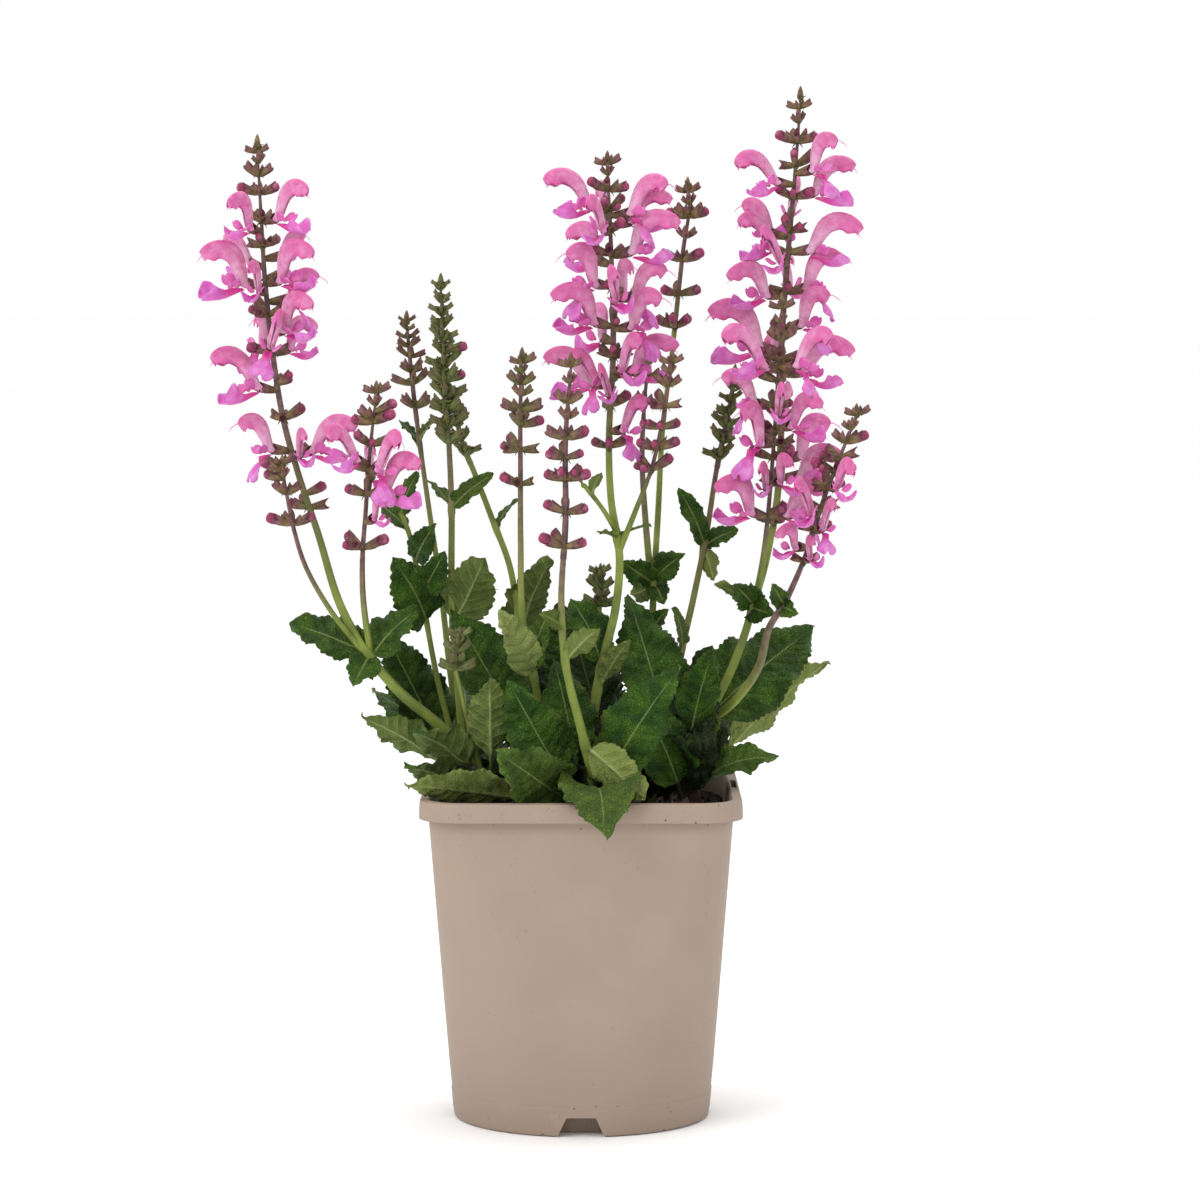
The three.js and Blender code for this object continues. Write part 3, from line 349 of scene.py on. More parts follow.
def peat(place):
    """Dark crumbs with paler fibres in them."""
    lumps = place.cloud(700, 5.0)
    fibres = place.cloud(260, 6.0)
    crumb = lumps.ramp(0.35, 0.7).blend("17100B", "35261B")
    return (crumb.coat((fibres.ramp(0.62, 0.72) * 0.5, "5A4632")), 0.82 + lumps * 0.15,
            (lumps * 0.6 + fibres * 0.4).relief(0.8))


def open_tree(name, labels):
    """A tree of geometry nodes with named inputs, {label: kind of socket}, and their wires."""
    tree = bpy.data.node_groups.new(name, "GeometryNodeTree")
    tree.interface.new_socket("Geometry", in_out="OUTPUT", socket_type="NodeSocketGeometry")
    for label, kind in {"Geometry": "Geometry", **labels}.items():
        tree.interface.new_socket(label, in_out="INPUT", socket_type="NodeSocket" + kind)
    graph = Graph(tree)
    given = tree.nodes.new("NodeGroupInput")
    return graph, {socket.name: Wire(graph, socket) for socket in given.outputs if socket.name}


def close_tree(graph, shapes, finishes):
    """Joins the shapes, makes their copies real, and gives each finish to what is chosen for it."""
    joined = graph.node("GeometryNodeJoinGeometry", {0: shapes})
    last = graph.node("GeometryNodeRealizeInstances", {0: joined})
    for finish, chosen in finishes:
        last = graph.node("GeometryNodeSetMaterial",
                          {0: last, "Selection": chosen, "Material": finish})
    leave = graph.tree.nodes.new("NodeGroupOutput")
    graph.tree.links.new(last.socket, leave.inputs[0])
    return graph.tree


def draw_between(graph, low, high, seed):
    """A number or a vector between two others, drawn for each point."""
    if isinstance(low, tuple):
        return graph.node("FunctionNodeRandomValue", {0: low, 1: high, "Seed": seed},
                          data_type="FLOAT_VECTOR")
    return graph.node("FunctionNodeRandomValue", {2: low, 3: high, "Seed": seed}, out=1)


def crumb_tree():
    """Geometry nodes that strew crumbs over a mesh's upward faces, each turned its own way."""
    graph, given = open_tree("peat_crumbs", {"Density": "Float", "Smallest": "Float",
                                             "Largest": "Float", "Seed": "Int",
                                             "Finish": "Material"})
    up = graph.node("GeometryNodeInputNormal").height()
    facing_up = graph.node("FunctionNodeCompare", {0: up, 1: 0.5}, operation="GREATER_THAN")
    points = graph.node("GeometryNodeDistributePointsOnFaces", {
        "Mesh": given["Geometry"], "Selection": facing_up, "Density": given["Density"],
        "Seed": given["Seed"]})
    turn = draw_between(graph, (0.0, 0.0, 0.0), (6.28, 6.28, 6.28), given["Seed"])
    share = draw_between(graph, 0.0, 1.0, given["Seed"] + 7.0)
    size = share * share * share * (given["Largest"] - given["Smallest"]) + given["Smallest"]
    squash = draw_between(graph, (0.6, 0.6, 0.4), (1.3, 1.0, 0.9), given["Seed"] + 3.0)
    crumb = graph.node("GeometryNodeMeshIcoSphere", {"Radius": 1.0, "Subdivisions": 1})
    crumbs = graph.node("GeometryNodeInstanceOnPoints", {
        "Points": points, "Instance": crumb,
        "Rotation": graph.node("FunctionNodeEulerToRotation", {0: turn}),
        "Scale": graph.node("ShaderNodeVectorMath", {0: squash, "Scale": size},
                            operation="SCALE")})
    return close_tree(graph, [given["Geometry"], crumbs], [(given["Finish"], True)])


def grow(piece, tree, values):
    """Runs a tree of geometry nodes on the piece, with values for its inputs, and keeps the mesh."""
    step = piece.modifiers.new(tree.name, "NODES")
    step.node_group = tree
    for item in tree.interface.items_tree:
        if item.name in values:
            step[item.identifier] = values[item.name]
    return settle(piece)


soil_rings = [body_ring(FLOOR + SOIL_GAP, WALL + SOIL_GAP + 0.2)]
soil_edge = body_ring(SOIL_TOP - SOIL_RELIEF, WALL + SOIL_GAP)
for ring_number in range(SOIL_RINGS):
    ring = soil_edge * [1, 1, 0] * (1 - ring_number / SOIL_RINGS)
    lumps = [noise.fractal(Vector(point) * 0.12, 0.8, 2.2, 4) for point in ring]
    settled = (soil_height(ring[:, 0], ring[:, 1])
               + np.array(lumps) * (LUMPS if ring_number else EDGE_LUMPS))
    soil_rings.append(np.column_stack([ring[:, :2], settled]))
soil = new_piece("potting_soil", skin(soil_rings))
carve(soil, new_piece("soil_notches", notch_wedges(NOTCH_SKIN + SOIL_GAP)))
soil.data.materials.clear()
grow(soil, crumb_tree(), {**CRUMBS, "Finish": make_finish("damp_peat", peat)})
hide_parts("soil")
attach(soil, "root")

# ---------------------------------------------------------------------------------------------
# Stems. Fresh sappy sage stems: four-sided with rounded corners, thicker where a pair of leaves
# springs, softly hairy, yellow-green below and flushed brown-purple towards the flowers. Each
# stands in the soil; side branches grow out of it.

# An axis: the height where its flower head starts, if it bears one; its radius at its foot and
# under the head; and the points that it passes through.
AXES = {
    "a": (284, (3.7, 2.1), [(-47, -14, 148), (-50, -15, 164), (-63, -20, 184), (-84, -26, 203),
        (-99, -30, 221), (-112, -33, 245), (-122, -34, 278), (-132, -34, 309), (-139, -33, 336),
        (-146, -31, 391), (-148, -30, 424), (-150, -29, 462)]),
    "a_low": (279, (1.7, 1.2), [(-101, -30, 222), (-116, -40, 243), (-127, -48, 264), (-132, -52, 281),
        (-135, -55, 297), (-138, -56, 315)]),
    "a_side": (268, (2, 1.5), [(-98, -29, 220), (-101, -38, 247), (-101, -46, 267), (-99, -52, 291),
        (-97, -56, 316), (-93, -58, 349)]),
    "b": (328, (2.4, 1.5), [(-51, 9, 148), (-57, 8, 175), (-62, 11, 206), (-67, 18, 248),
        (-72, 24, 281), (-76, 28, 308), (-80, 30, 339), (-84, 30, 380)]),
    "b_leaf": (None, (2.2, 1.4), [(-57, 2, 148), (-60, 0, 174), (-68, -2, 207), (-75, -2, 245),
        (-81, -4, 276), (-85, -6, 287)]),
    "c": (314, (3, 1.8), [(-51, -5, 148), (-55, -6, 172), (-58, -8, 203), (-61, -8, 246),
        (-61, -8, 288), (-62, -8, 316), (-64, -8, 349), (-66, -8, 398)]),
    "c_back": (307, (2.7, 1.8), [(-30, 12, 148), (-28, 13, 177), (-29, 20, 215), (-34, 30, 257),
        (-43, 38, 281), (-52, 42, 304), (-58, 44, 319), (-62, 44, 344)]),
    "d": (296, (3, 1.7), [(-13, -23, 148), (-16, -24, 176), (-20, -30, 201), (-27, -36, 238),
        (-28, -38, 276), (-28, -40, 308), (-28, -40, 336), (-27, -40, 364)]),
    "e": (268, (3.5, 1.8), [(6, -38, 148), (5, -43, 167), (1, -48, 185), (-7, -54, 219), (-9, -56, 249),
        (-7, -58, 286), (-7, -58, 323), (-4, -58, 362)]),
    "f": (311, (3.5, 2.2), [(5, -8, 148), (5, -6, 181), (9, -6, 212), (16, -6, 241), (18, -6, 266),
        (14, -6, 293), (13, -6, 321), (15, -6, 363), (14, -6, 410), (12, -6, 455)]),
    "f_right": (302, (1.8, 1.2), [(18, -6, 269), (25, -16, 287), (33, -26, 309), (37, -32, 327),
        (40, -36, 344), (43, -38, 363)]),
    "f_left": (None, (1.5, 1), [(17, -6, 277), (10, -14, 289), (1, -22, 301)]),
    "g": (366, (2.9, 1.5), [(31, 19, 148), (31, 22, 178), (33, 30, 214), (35, 38, 254), (37, 46, 287),
        (39, 52, 323), (44, 58, 364), (49, 60, 410), (52, 60, 432), (50, 60, 444)]),
    "g_low": (331, (2.1, 1.3), [(34, 38, 246), (31, 34, 276), (29, 32, 310), (30, 32, 336),
        (33, 32, 367)]),
    "h": (305, (2.9, 1.7), [(41, 12, 148), (42, 13, 177), (46, 20, 210), (54, 32, 245), (60, 42, 273),
        (65, 48, 304), (70, 50, 328), (75, 50, 354)]),
    "i": (274, (3.7, 2.1), [(33, -2, 148), (34, -1, 157), (43, 2, 170), (56, 6, 184), (67, 10, 202),
        (75, 12, 220), (82, 14, 242), (88, 16, 263), (93, 18, 291), (95, 20, 325), (95, 20, 363),
        (97, 20, 396), (101, 20, 443), (104, 20, 486)]),
    "i_low": (280, (2.3, 1.4), [(83, 14, 244), (86, 4, 264), (88, -8, 288), (90, -14, 317),
        (92, -16, 352), (94, -16, 389)]),
    "j": (261, (2.8, 1.5), [(57, 6, 185), (70, -4, 195), (83, -16, 214), (88, -24, 234), (95, -28, 246),
        (105, -34, 270), (112, -36, 293), (119, -38, 312), (125, -38, 327), (130, -38, 338)]),
    "bud_mid": (236, (1.8, 1.2), [(8, 21, 148), (8, 24, 173), (7, 30, 214), (9, 32, 243),
        (9, 32, 259)]),
    "bud_left": (212, (1.8, 1.2), [(-41, -23, 148), (-48, -27, 171), (-55, -36, 201), (-58, -42, 220),
        (-55, -44, 235)]),
}
# A leafy stem: its axes, the first of which stands in the soil, each with its leaves as (height,
# tip, arch, width, roll, bare share of the length, tone). The tone runs from -1, painted deep shade,
# over 0, old and dark, and 1, young and pale, to 2, painted light paler than any leaf here.
STEMS = {
    "stem_a": {"a": [(222, (-134, -24, 235), 2, 22, -50, 0.12, 0.3),
        (220, (-78, -24, 241), 3, 21, 45, 0.1, 0.3), (221, (-105, -44, 210), 2, 16, -35, 0.1, 0.25),
        (153, (-100, -34, 192), 5, 21, 40, 0.42, 0.45), (150, (-80, -50, 171), 5, 18, 30, 0.4, 0.35)],
        "a_low": [], "a_side": []},
    "stem_b": {"b": [(151, (-99, 42, 196), 8, 28, -15, 0.4, 0.15),
        (150, (-58, 80, 195), 9, 30, -5, 0.4, 0.1), (320, (-69, 22, 330), 1, 7, 0, 0.2, 0.3),
        (316, (-87, 37, 328), 1, 7, 0, 0.2, 0.3)]},
    "stem_b_leaf": {"b_leaf": [(234, (-87, -17, 264), 5, 25, -110, 0.1, 0.12),
        (248, (-64, -30, 269), 3, 15, 145, 0.2, 0.12), (263, (-69, -14, 281), 3, 13, 115, 0.1, 0.15),
        (286, (-77, -12, 305), 2, 11, 95, 0.05, 0.35), (278, (-95, 4, 289), 2, 9, -35, 0.1, 0.35),
        (152, (-91, 2, 225), 3, 30, -60, 0.38, 0.2)]},
    "stem_c": {"c": [(233, (-46, -22, 264), 3, 25, -50, 0.1, 0.45),
        (289, (-42, -16, 305), 2, 10, 75, 0.08, 0.45), (289, (-72, 0, 301), 1, 8, 0, 0.08, 0.45)]},
    "stem_c_back": {"c_back": [(223, (-16, 30, 260), 4, 25, -85, 0.12, 0.38),
        (152, (-50, 52, 226), 7, 30, 0, 0.32, 0.05), (276, (-30, 42, 290), 2, 8, 0, 0.1, 0.4)]},
    "stem_d": {"d": [(212, (-37, -52, 243), 3, 17, -120, 0.1, 1.35),
        (214, (-15, -40, 242), 3, 14, 100, 0.12, 0.4), (151, (-60, -22, 240), 5, 32, -60, 0.34, 0.06),
        (151, (-34, -12, 215), 6, 28, -30, 0.4, 0.1)]},
    "stem_e": {"e": [(152, (44, -50, 215), 5, 31, 75, 0.18, 0.2),
        (181, (28, -70, 160), 2, 20, -100, 0.1, 1), (221, (7, -66, 236), 2, 12, -45, 0.1, 0.6),
        (237, (-18, -62, 243), 1, 9, -70, 0.1, 0.55), (150, (11, -94, 146), 15, 37, 0, 0.2, 0.45)]},
    "stem_f": {"f": [(213, (-4, 2, 243), 4, 22, -25, 0.12, 0.08),
        (202, (22, -20, 227), 2, 11, -30, 0.2, 0.65), (274, (8, -14, 278), 1, 7, 0, 0.1, 0.5),
        (275, (32, -12, 281), 1, 7, 0, 0.1, 0.5)], "f_right": [],
        "f_left": [(300, (-9, -25, 307), 1, 6, 0, 0.15, 0.6),
        (296, (9, -28, 306), 1, 6, 0, 0.15, 0.6)]},
    "stem_g": {"g": [(250, (20, 24, 261), 2, 14, -110, 0.12, 0.22),
        (251, (48, 30, 264), 2, 15, 75, 0.12, 0.22), (249, (25, 22, 246), 1, 11, 110, 0.12, 0.4),
        (249, (39, 26, 242), 2, 11, 15, 0.12, 0.25), (225, (41, 24, 238), 2, 9, 85, 0.3, 0.15)],
        "g_low": []},
    "stem_h": {"h": [(268, (47, 32, 295), 2, 12, -90, 0.05, 0.2),
        (267, (74, 40, 275), 2, 12, 45, 0.1, 0.2), (267, (63, 28, 253), 1, 9, -125, 0.1, 0.7),
        (219, (44, 20, 239), 2, 9, -75, 0.1, 0.5)]},
    "stem_i": {"i": [(186, (108, 36, 226), 4, 40, 45, 0.08, 0.25),
        (241, (64, 4, 252), 2, 10, 35, 0.05, 0.65), (242, (73, -2, 252), 2, 14, -130, 0.05, 0.2),
        (240, (90, 2, 238), 2, 14, 70, 0.05, 0.2)], "i_low": [],
        "j": [(245, (89, -42, 255), 1, 9, -145, 0.08, 0.35),
        (244, (100, -38, 242), 1, 9, 70, 0.08, 0.35)]},
    "stem_bud_mid": {"bud_mid": [(151, (-6, 24, 232), 7, 30, -40, 0.3, -0.5)]},
    "stem_bud_left": {"bud_left": [(150, (-77, -46, 187), 8, 24, 30, 0.42, 0.25),
        (151, (-42, -62, 211), 2, 21, 0, 0.45, 0.35)]},
}
FOOT_HEIGHTS = (127, 138)       # where a stem's foot starts in the soil, and a ring above it
SHOOT_FOOT = SOIL_TOP + 20      # an axis that starts above this is a side branch
FLUSH_RUN = 60                  # length below a flower head over which its purple fades
JOINT_SWELLING, JOINT_RUN = 0.16, 3.0
INTO_HEAD = 0.5                 # how far a stem runs up into its flower head
# How purple an axis is at the lower end of that run, and where the head starts.
EARLY_FLUSH = {"a": (0.1, 0.55), "b": (0.4, 0.75), "c": (0.35, 0.7), "d": (0.3, 0.7),
               "e": (0.1, 0.8), "h": (0.5, 0.75)}
USUAL_FLUSH = (0, 0.35)
SHOOT_FLUSH = (0.1, 0.6, 1)     # of a side branch at its foot, 30 mm above it, and in its head


def smooth_line(path, steps=10):
    """Points of a smooth curve through a path's points, even where these lie unevenly."""
    path = np.array(path, float)
    ends = [2 * path[0] - path[1], *path, 2 * path[-1] - path[-2]]
    share = np.linspace(0, 1, steps, endpoint=False)[:, None]
    line = []
    for before, start, end, after in zip(ends, ends[1:], ends[2:], ends[3:]):
        lead, span, trail = (max(np.linalg.norm(b - a), 1e-6) ** 0.5
                             for a, b in ((before, start), (start, end), (end, after)))
        leave = ((start - before) / lead - (end - before) / (lead + span) + (end - start) / span)
        reach = ((end - start) / span - (after - start) / (span + trail) + (after - end) / trail)
        leave, reach = leave * span, reach * span
        line.append(start + leave * share + (3 * (end - start) - 2 * leave - reach) * share ** 2
                    + (2 * (start - end) + leave + reach) * share ** 3)
    return np.concatenate([*line, path[-1:]])


LINES = {name: smooth_line(path) for name, (_, _, path) in AXES.items()}


def axis_point(name, height):
    """The point of an axis at a height."""
    line = LINES[name]
    return np.array([np.interp(height, line[:, 2], line[:, k]) for k in (0, 1, 2)])


def flush_of(name, heights):
    """How purple an axis is at some heights: green at the foot, brown within its flower head."""
    head_start, _, path = AXES[name]
    if head_start is None:
        return heights * 0
    foot, top = path[0][2], path[-1][2]
    if foot > SHOOT_FOOT:
        return np.interp(heights, [foot, foot + 30, head_start + 10], SHOOT_FLUSH)
    return np.interp(heights, [head_start - FLUSH_RUN, head_start, (head_start + top) / 2],
                     [*EARLY_FLUSH.get(name, USUAL_FLUSH), 1])


def wire_through(points, layers):
    """Points and the edges between them in turn, with values stored on them."""
    return points, [[k, k + 1] for k in range(len(points) - 1)], layers


def stalk_wire(axes, joints):
    """A stem's centre lines, with its thickness and its flush of purple; it swells at its joints."""
    parts = []
    for name in axes:
        head_start, (thick, thin), path = AXES[name]
        top = (head_start + INTO_HEAD) if head_start else path[-1][2] - 0.3
        line = LINES[name]
        line = np.vstack([line[line[:, 2] < top], axis_point(name, top)])
        if not parts:
            foot = line[0] * [1, 1, 0]
            line = np.vstack([*(foot + [0, 0, height] for height in FOOT_HEIGHTS), line])
        rise = np.clip((line[:, 2] - path[0][2]) / (top - path[0][2]), 0, 1)
        radius = thick + (thin - thick) * rise
        for height in joints[name]:
            near = np.exp(-((line[:, 2] - height) / JOINT_RUN) ** 2)
            radius = radius * (1 + JOINT_SWELLING * near)
        parts.append(wire_through(line, {"thickness": radius, "flush": flush_of(name, line[:, 2])}))
    return combine(parts)


def stalk_tree():
    """Geometry nodes that clothe centre lines in a four-sided stem with short hairs."""
    graph, given = open_tree("square_stem", {"Corner": "Float", "Hair density": "Float",
                                             "Hair length": "Float", "Seed": "Int",
                                             "Finish": "Material"})
    centre = graph.node("GeometryNodeMeshToCurve", {"Mesh": given["Geometry"]})
    square = graph.node("GeometryNodeCurvePrimitiveQuadrilateral",
                        {"Width": math.sqrt(2), "Height": math.sqrt(2)})
    section = graph.node("GeometryNodeFilletCurve",
                         {"Curve": square, "Count": 3, "Radius": given["Corner"]}, mode="POLY")
    thickness = graph.node("GeometryNodeInputNamedAttribute", {"Name": "thickness"})
    stalk = graph.node("GeometryNodeCurveToMesh", {"Curve": centre, "Profile Curve": section,
                                                   "Scale": thickness * MM, "Fill Caps": True})
    strewn = graph.node("GeometryNodeDistributePointsOnFaces", {
        "Mesh": stalk, "Density": given["Hair density"], "Seed": given["Seed"]})
    lean = draw_between(graph, (-0.6, -0.6, 0), (0.6, 0.6, 6.28), given["Seed"])
    turned = graph.node("FunctionNodeRotateRotation", {
        "Rotation": Wire(graph, strewn.socket.node.outputs["Rotation"]),
        "Rotate By": graph.node("FunctionNodeEulerToRotation", {0: lean})}, rotation_space="LOCAL")
    hair = graph.node("GeometryNodeMeshCone", {
        "Vertices": 3, "Radius Top": 0.0, "Radius Bottom": 0.05, "Depth": 1.0}, fill_type="NONE")
    length = draw_between(graph, 0.5, 1.0, given["Seed"]) * given["Hair length"]
    hairs = graph.node("GeometryNodeInstanceOnPoints", {
        "Points": strewn, "Instance": hair, "Rotation": turned, "Scale": length})
    return close_tree(graph, [stalk, hairs], [(given["Finish"], True)])


def sappy_stem(place):
    """Yellow-green with darker feet, partly painted shade, and streaky purple where flushed."""
    streaks = place.cloud(260, 4.0)
    patch = place.cloud(60)
    flush, = place.stored("flush")
    # The feet darken to brown: partly the stem's own colour, partly painted shade at the clump's base.
    green = patch.ramp(0.3, 0.7).blend("5C6A22", "84923A").coat(
        (place.height().ramp(185 * MM, 148 * MM) * 0.85, "3F3524"))
    purple = streaks.ramp(0.35, 0.65).blend("4A3036", "70504A")
    body = (flush + (patch - 0.5) * 0.5).ramp(0.25, 0.9).blend(green, purple)
    return body, 0.5 + streaks * 0.2, streaks.relief(0.15)


STALK_TREE = stalk_tree()
STALK = {"Corner": 0.34, "Hair density": 220000, "Hair length": 1.0 * MM, "Seed": 11,
         "Finish": make_finish("sappy_stem", sappy_stem)}
for stem_name, axes in STEMS.items():
    joints = {axis: [leaf[0] for leaf in leaves] for axis, leaves in axes.items()}
    stalk = grow(new_piece(stem_name + "_stalk", stalk_wire(axes, joints)), STALK_TREE, STALK)
    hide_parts(stem_name)
    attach(stalk, "root")

# ---------------------------------------------------------------------------------------------
# Leaves. Sage leaves: a channelled stalk that runs on as a pale midrib, and a wrinkled oval
# blade, quilted between its side veins and cut to blunt teeth at the edge. Dark green above and
# grey-green below; the young ones are paler. They grow from the stems and from short crowns.

LEAF_STALK = 1.9                # width of a leaf's stalk
FOLD = 0.22                     # how far a blade folds up along its midrib
TIP_STRETCH = 0.12              # how far a blade's tip is drawn out, as a share of its width
TOOTH_PITCH = 2.9
TEETH_FROM = 0.72               # the teeth start at this share of a blade's half width
VEIN_PITCH = 5.6
VEIN_SLANT = 0.62               # how far a side vein runs forward for each millimetre outwards
SMALL_LEAF = 26                 # a shorter leaf than this is a small one
GOLDEN_ANGLE, GOLDEN_SHARE = 2.4, 0.618     # spread things evenly, however many there are
# For a usual, a small and a leaf painted in deep shade: its teeth's pitch as a share of
# TOOTH_PITCH, the rows to a tooth, the rows of its stalk and the columns of half its blade.
USUAL_GRID, SMALL_GRID, SHADED_GRID = (1, 4, 8, 10), (0.7, 4, 4, 6), (1.7, 3, 4, 4)
BLADE_SKIN = 0.2                # half a blade's thickness away from its veins
# A leaf of this tone is painted in deep shade.
PAINTED_SHADE_TONE = -1.0                   # the tone of a leaf deep in the clump

# A rosette: where its crown stands, and its leaves as (tip, arch, width, roll, bare share, tone).
ROSETTES = {
    "rosette_front": ((-1, -26), [((-36, -78, 180), 5, 30, -115, 0.34, 0.42),
        ((-78, -62, 164), 2, 22, 45, 0.35, 0.85), ((-32, -56, 209), 4, 29, -125, 0.3, 0.16),
        ((-12, -36, 217), 4, 26, -105, 0.36, 0.1)]),
    "rosette_right": ((48, -12), [((91, -10, 171), 9, 20, 30, 0.22, 0.35),
        ((30, -34, 197), 5, 28, -115, 0.3, 0.06), ((61, -6, 218), 5, 28, 35, 0.36, 0.15),
        ((23, 14, 243), 5, 32, -25, 0.38, 0.12)]),
    "rosette_back": ((-8, 36), [((-38, 84, 188), 11, 32, -10, 0.36, 0.1),
        ((12, 90, 202), 9, 32, 10, 0.36, -0.6), ((-10, 58, 236), 6, 29, 0, 0.4, 0.08)]),
    "rosette_back_right": ((54, 28), [((118, 66, 208), 6, 26, -60, 0.36, 0.75),
        ((72, 90, 185), 11, 31, 10, 0.36, 0.12), ((28, 82, 196), 9, 31, -10, 0.4, 0.1),
        ((63, 58, 215), 5, 27, 0, 0.42, 0.12)]),
}


def unit(vectors):
    """Vectors of length 1 along the given ones."""
    return vectors / np.maximum(np.linalg.norm(vectors, axis=-1, keepdims=True), 1e-9)


def sheet(grid, over, under, layers=None):
    """A thin closed skin about a grid of points, thickened by over and under along its normal."""
    normal = unit(np.cross(np.gradient(grid, axis=1), np.gradient(grid, axis=0)))
    rows, columns = grid.shape[:2]
    top = (grid + normal * np.broadcast_to(over, (rows, columns))[..., None]).reshape(-1, 3)
    bottom = (grid - normal * np.broadcast_to(under, (rows, columns))[..., None]).reshape(-1, 3)
    number = np.arange(rows * columns).reshape(rows, columns)
    below = number + rows * columns
    a, b, c, d = number[:-1, :-1], number[:-1, 1:], number[1:, 1:], number[1:, :-1]
    quads = [np.stack([a, b, c, d], axis=-1),
             np.stack([a, d, c, b], axis=-1) + rows * columns]
    for edge, lower in ((number[:, 0], below[:, 0]), (number[::-1, -1], below[::-1, -1]),
                        (number[0, ::-1], below[0, ::-1]), (number[-1], below[-1])):
        quads.append(np.stack([edge[:-1], edge[1:], lower[1:], lower[:-1]], axis=-1))
    faces = np.concatenate([quad.reshape(-1, 4) for quad in quads]).tolist()
    doubled = {name: np.concatenate([np.ravel(values)] * 2)
               for name, values in (layers or {}).items()}
    doubled["under"] = np.repeat([0.0, 1.0], rows * columns)
    return np.concatenate([top, bottom]), faces, doubled


def leaf_shape(base, tip, arch, width, roll, bare, tone, turn):
    """A sage leaf from its base to its tip; turn sets how its edge waves."""
    base, tip = np.array(base, float), np.array(tip, float)
    length = np.linalg.norm(tip - base)
    pitch, tooth_rows, stalk_rows, columns = (
        SHADED_GRID if tone <= PAINTED_SHADE_TONE else SMALL_GRID if length < SMALL_LEAF else USUAL_GRID)
    teeth = max(5, round(length * (1 - bare) / (TOOTH_PITCH * pitch)))

    # One row of points for each place along the stalk, where u is 0, and along the blade.
    blade = np.linspace(0, 1, teeth * tooth_rows + 1)
    stalk = np.linspace(0, 1, stalk_rows)[:-1]
    u = np.concatenate([stalk * 0, blade])[:, None]
    is_stalk = np.concatenate([stalk < 2, blade > 2])[:, None]
    share = np.concatenate([stalk * bare, bare + (1 - bare) * blade])[:, None]
    chord = unit(tip - base)
    side = unit(np.cross(chord, (0, 0, 1)))
    side = np.array(Matrix.Rotation(math.radians(roll), 3, Vector(chord)) @ Vector(side))
    middle = (base + tip) / 2 + np.cross(side, chord) * arch * 2
    centre = (1 - share) ** 2 * base + 2 * share * (1 - share) * middle + share ** 2 * tip
    centre = centre + chord * width * TIP_STRETCH * np.clip((u - 0.85) / 0.15, 0, 1) ** 2
    tangent = unit((1 - share) * (middle - base) + share * (tip - middle))
    normal = unit(np.cross(side, tangent))
    bend = 0.3 * math.sin(turn * 2.3) * (u - 0.35) + 0.1 * np.sin(9 * u + 3 * turn)
    side, normal = (side * np.cos(bend) + normal * np.sin(bend),
                    normal * np.cos(bend) - side * np.sin(bend))

    # The outline: an oval, cut to teeth that lean towards the tip.
    oval = np.sin(np.pi * np.minimum(1, 0.04 + 0.96 * u) ** 0.76).clip(0) ** 0.6
    half = np.maximum(width / 2 * np.maximum(0.02, oval), 0.35 + 0.6 * (1 - u) ** 3)
    half = np.where(is_stalk, LEAF_STALK / 2, half)
    v = np.linspace(-1, 1, 2 * columns + 1)
    v = (np.sign(v) * np.abs(v) ** 1.25)[None, :]
    step = (u * teeth + 0.12 * np.sin(u * 23 + turn)) % 1
    tooth = np.where(is_stalk, 0, np.sin(np.pi * step ** 1.3) ** 0.7)
    tooth = tooth * np.minimum(1, half / (width * 0.2)) * (0.85 + 0.2 * np.sin(u * 31 + turn))
    edge = np.clip((np.abs(v) - TEETH_FROM) / (1 - TEETH_FROM), 0, 1)
    across = v * half + np.sign(v) * edge * (tooth - 0.45) * min(1.6, width * 0.065)
    across = np.where(is_stalk, v * half, across)

    # The relief: pillows between the side veins, fine wrinkles, and waves towards the edge.
    along = u * length * (1 - bare)
    slant = along - VEIN_SLANT * np.abs(across) + 1.2 * np.sin(across * 0.16 + turn)
    beat = np.abs(np.sin(np.pi * slant / VEIN_PITCH))
    inner = np.clip(np.abs(across) / 2.5, 0, 1) * (1 - np.abs(v) ** 6)
    quilt = (beat ** 0.55 - 0.55) * 1.3 * inner
    wrinkle = (np.sin(1.5 * along + 1.9 * np.sin(0.8 * across + turn))
               * np.sin(1.7 * across + 1.3 * np.sin(0.9 * along)))
    buckle = np.sin(0.42 * along + 1.6 * np.sin(0.3 * across + turn)) * np.sin(0.5 * across + turn)
    wave = (FOLD * half * np.abs(v) ** 1.4 + 0.04 * width * np.sin(16.8 * u) * np.abs(v) ** 2
            + 0.08 * width * np.sin(7 * u + turn) * v * np.abs(v)
            + 0.06 * width * np.sin(23 * u + 2 * turn + 2.5 * v) * v ** 4)
    rough = quilt + (0.35 * wrinkle + 0.6 * buckle) * inner
    lift = np.where(is_stalk, 0, wave + rough * min(1, width / 16))
    grid = (centre[:, None, :] + side[:, None, :] * across[..., None]
            + normal[:, None, :] * lift[..., None]
            + tangent[:, None, :] * (edge * tooth * 0.5)[..., None])

    # The thickness: a channel on top of the stalk, and the ribs and veins under the blade.
    rib = np.exp(-(across / 0.95) ** 2) * (1 - 0.75 * u) * min(1, width / 20)
    vein = np.exp(-(beat / 0.22) ** 2) * inner
    round_side = np.sqrt(np.clip(1 - v ** 2, 0, 1))
    thin = BLADE_SKIN - 0.12 * edge
    over = np.where(is_stalk, 0.15 + 0.45 * round_side * (0.5 + np.abs(v)), thin)
    under = np.where(is_stalk, 0.15 + 1.3 * round_side, thin + 1.1 * rib + 0.28 * vein)
    size = np.ones_like(across)
    return sheet(grid, over, under, {
        "along": along * size, "across": across, "rim": np.abs(v) * size * (u > 0),
        "reach": u * size, "tone": tone * size, "bare": is_stalk * size, "leaf": turn * size})


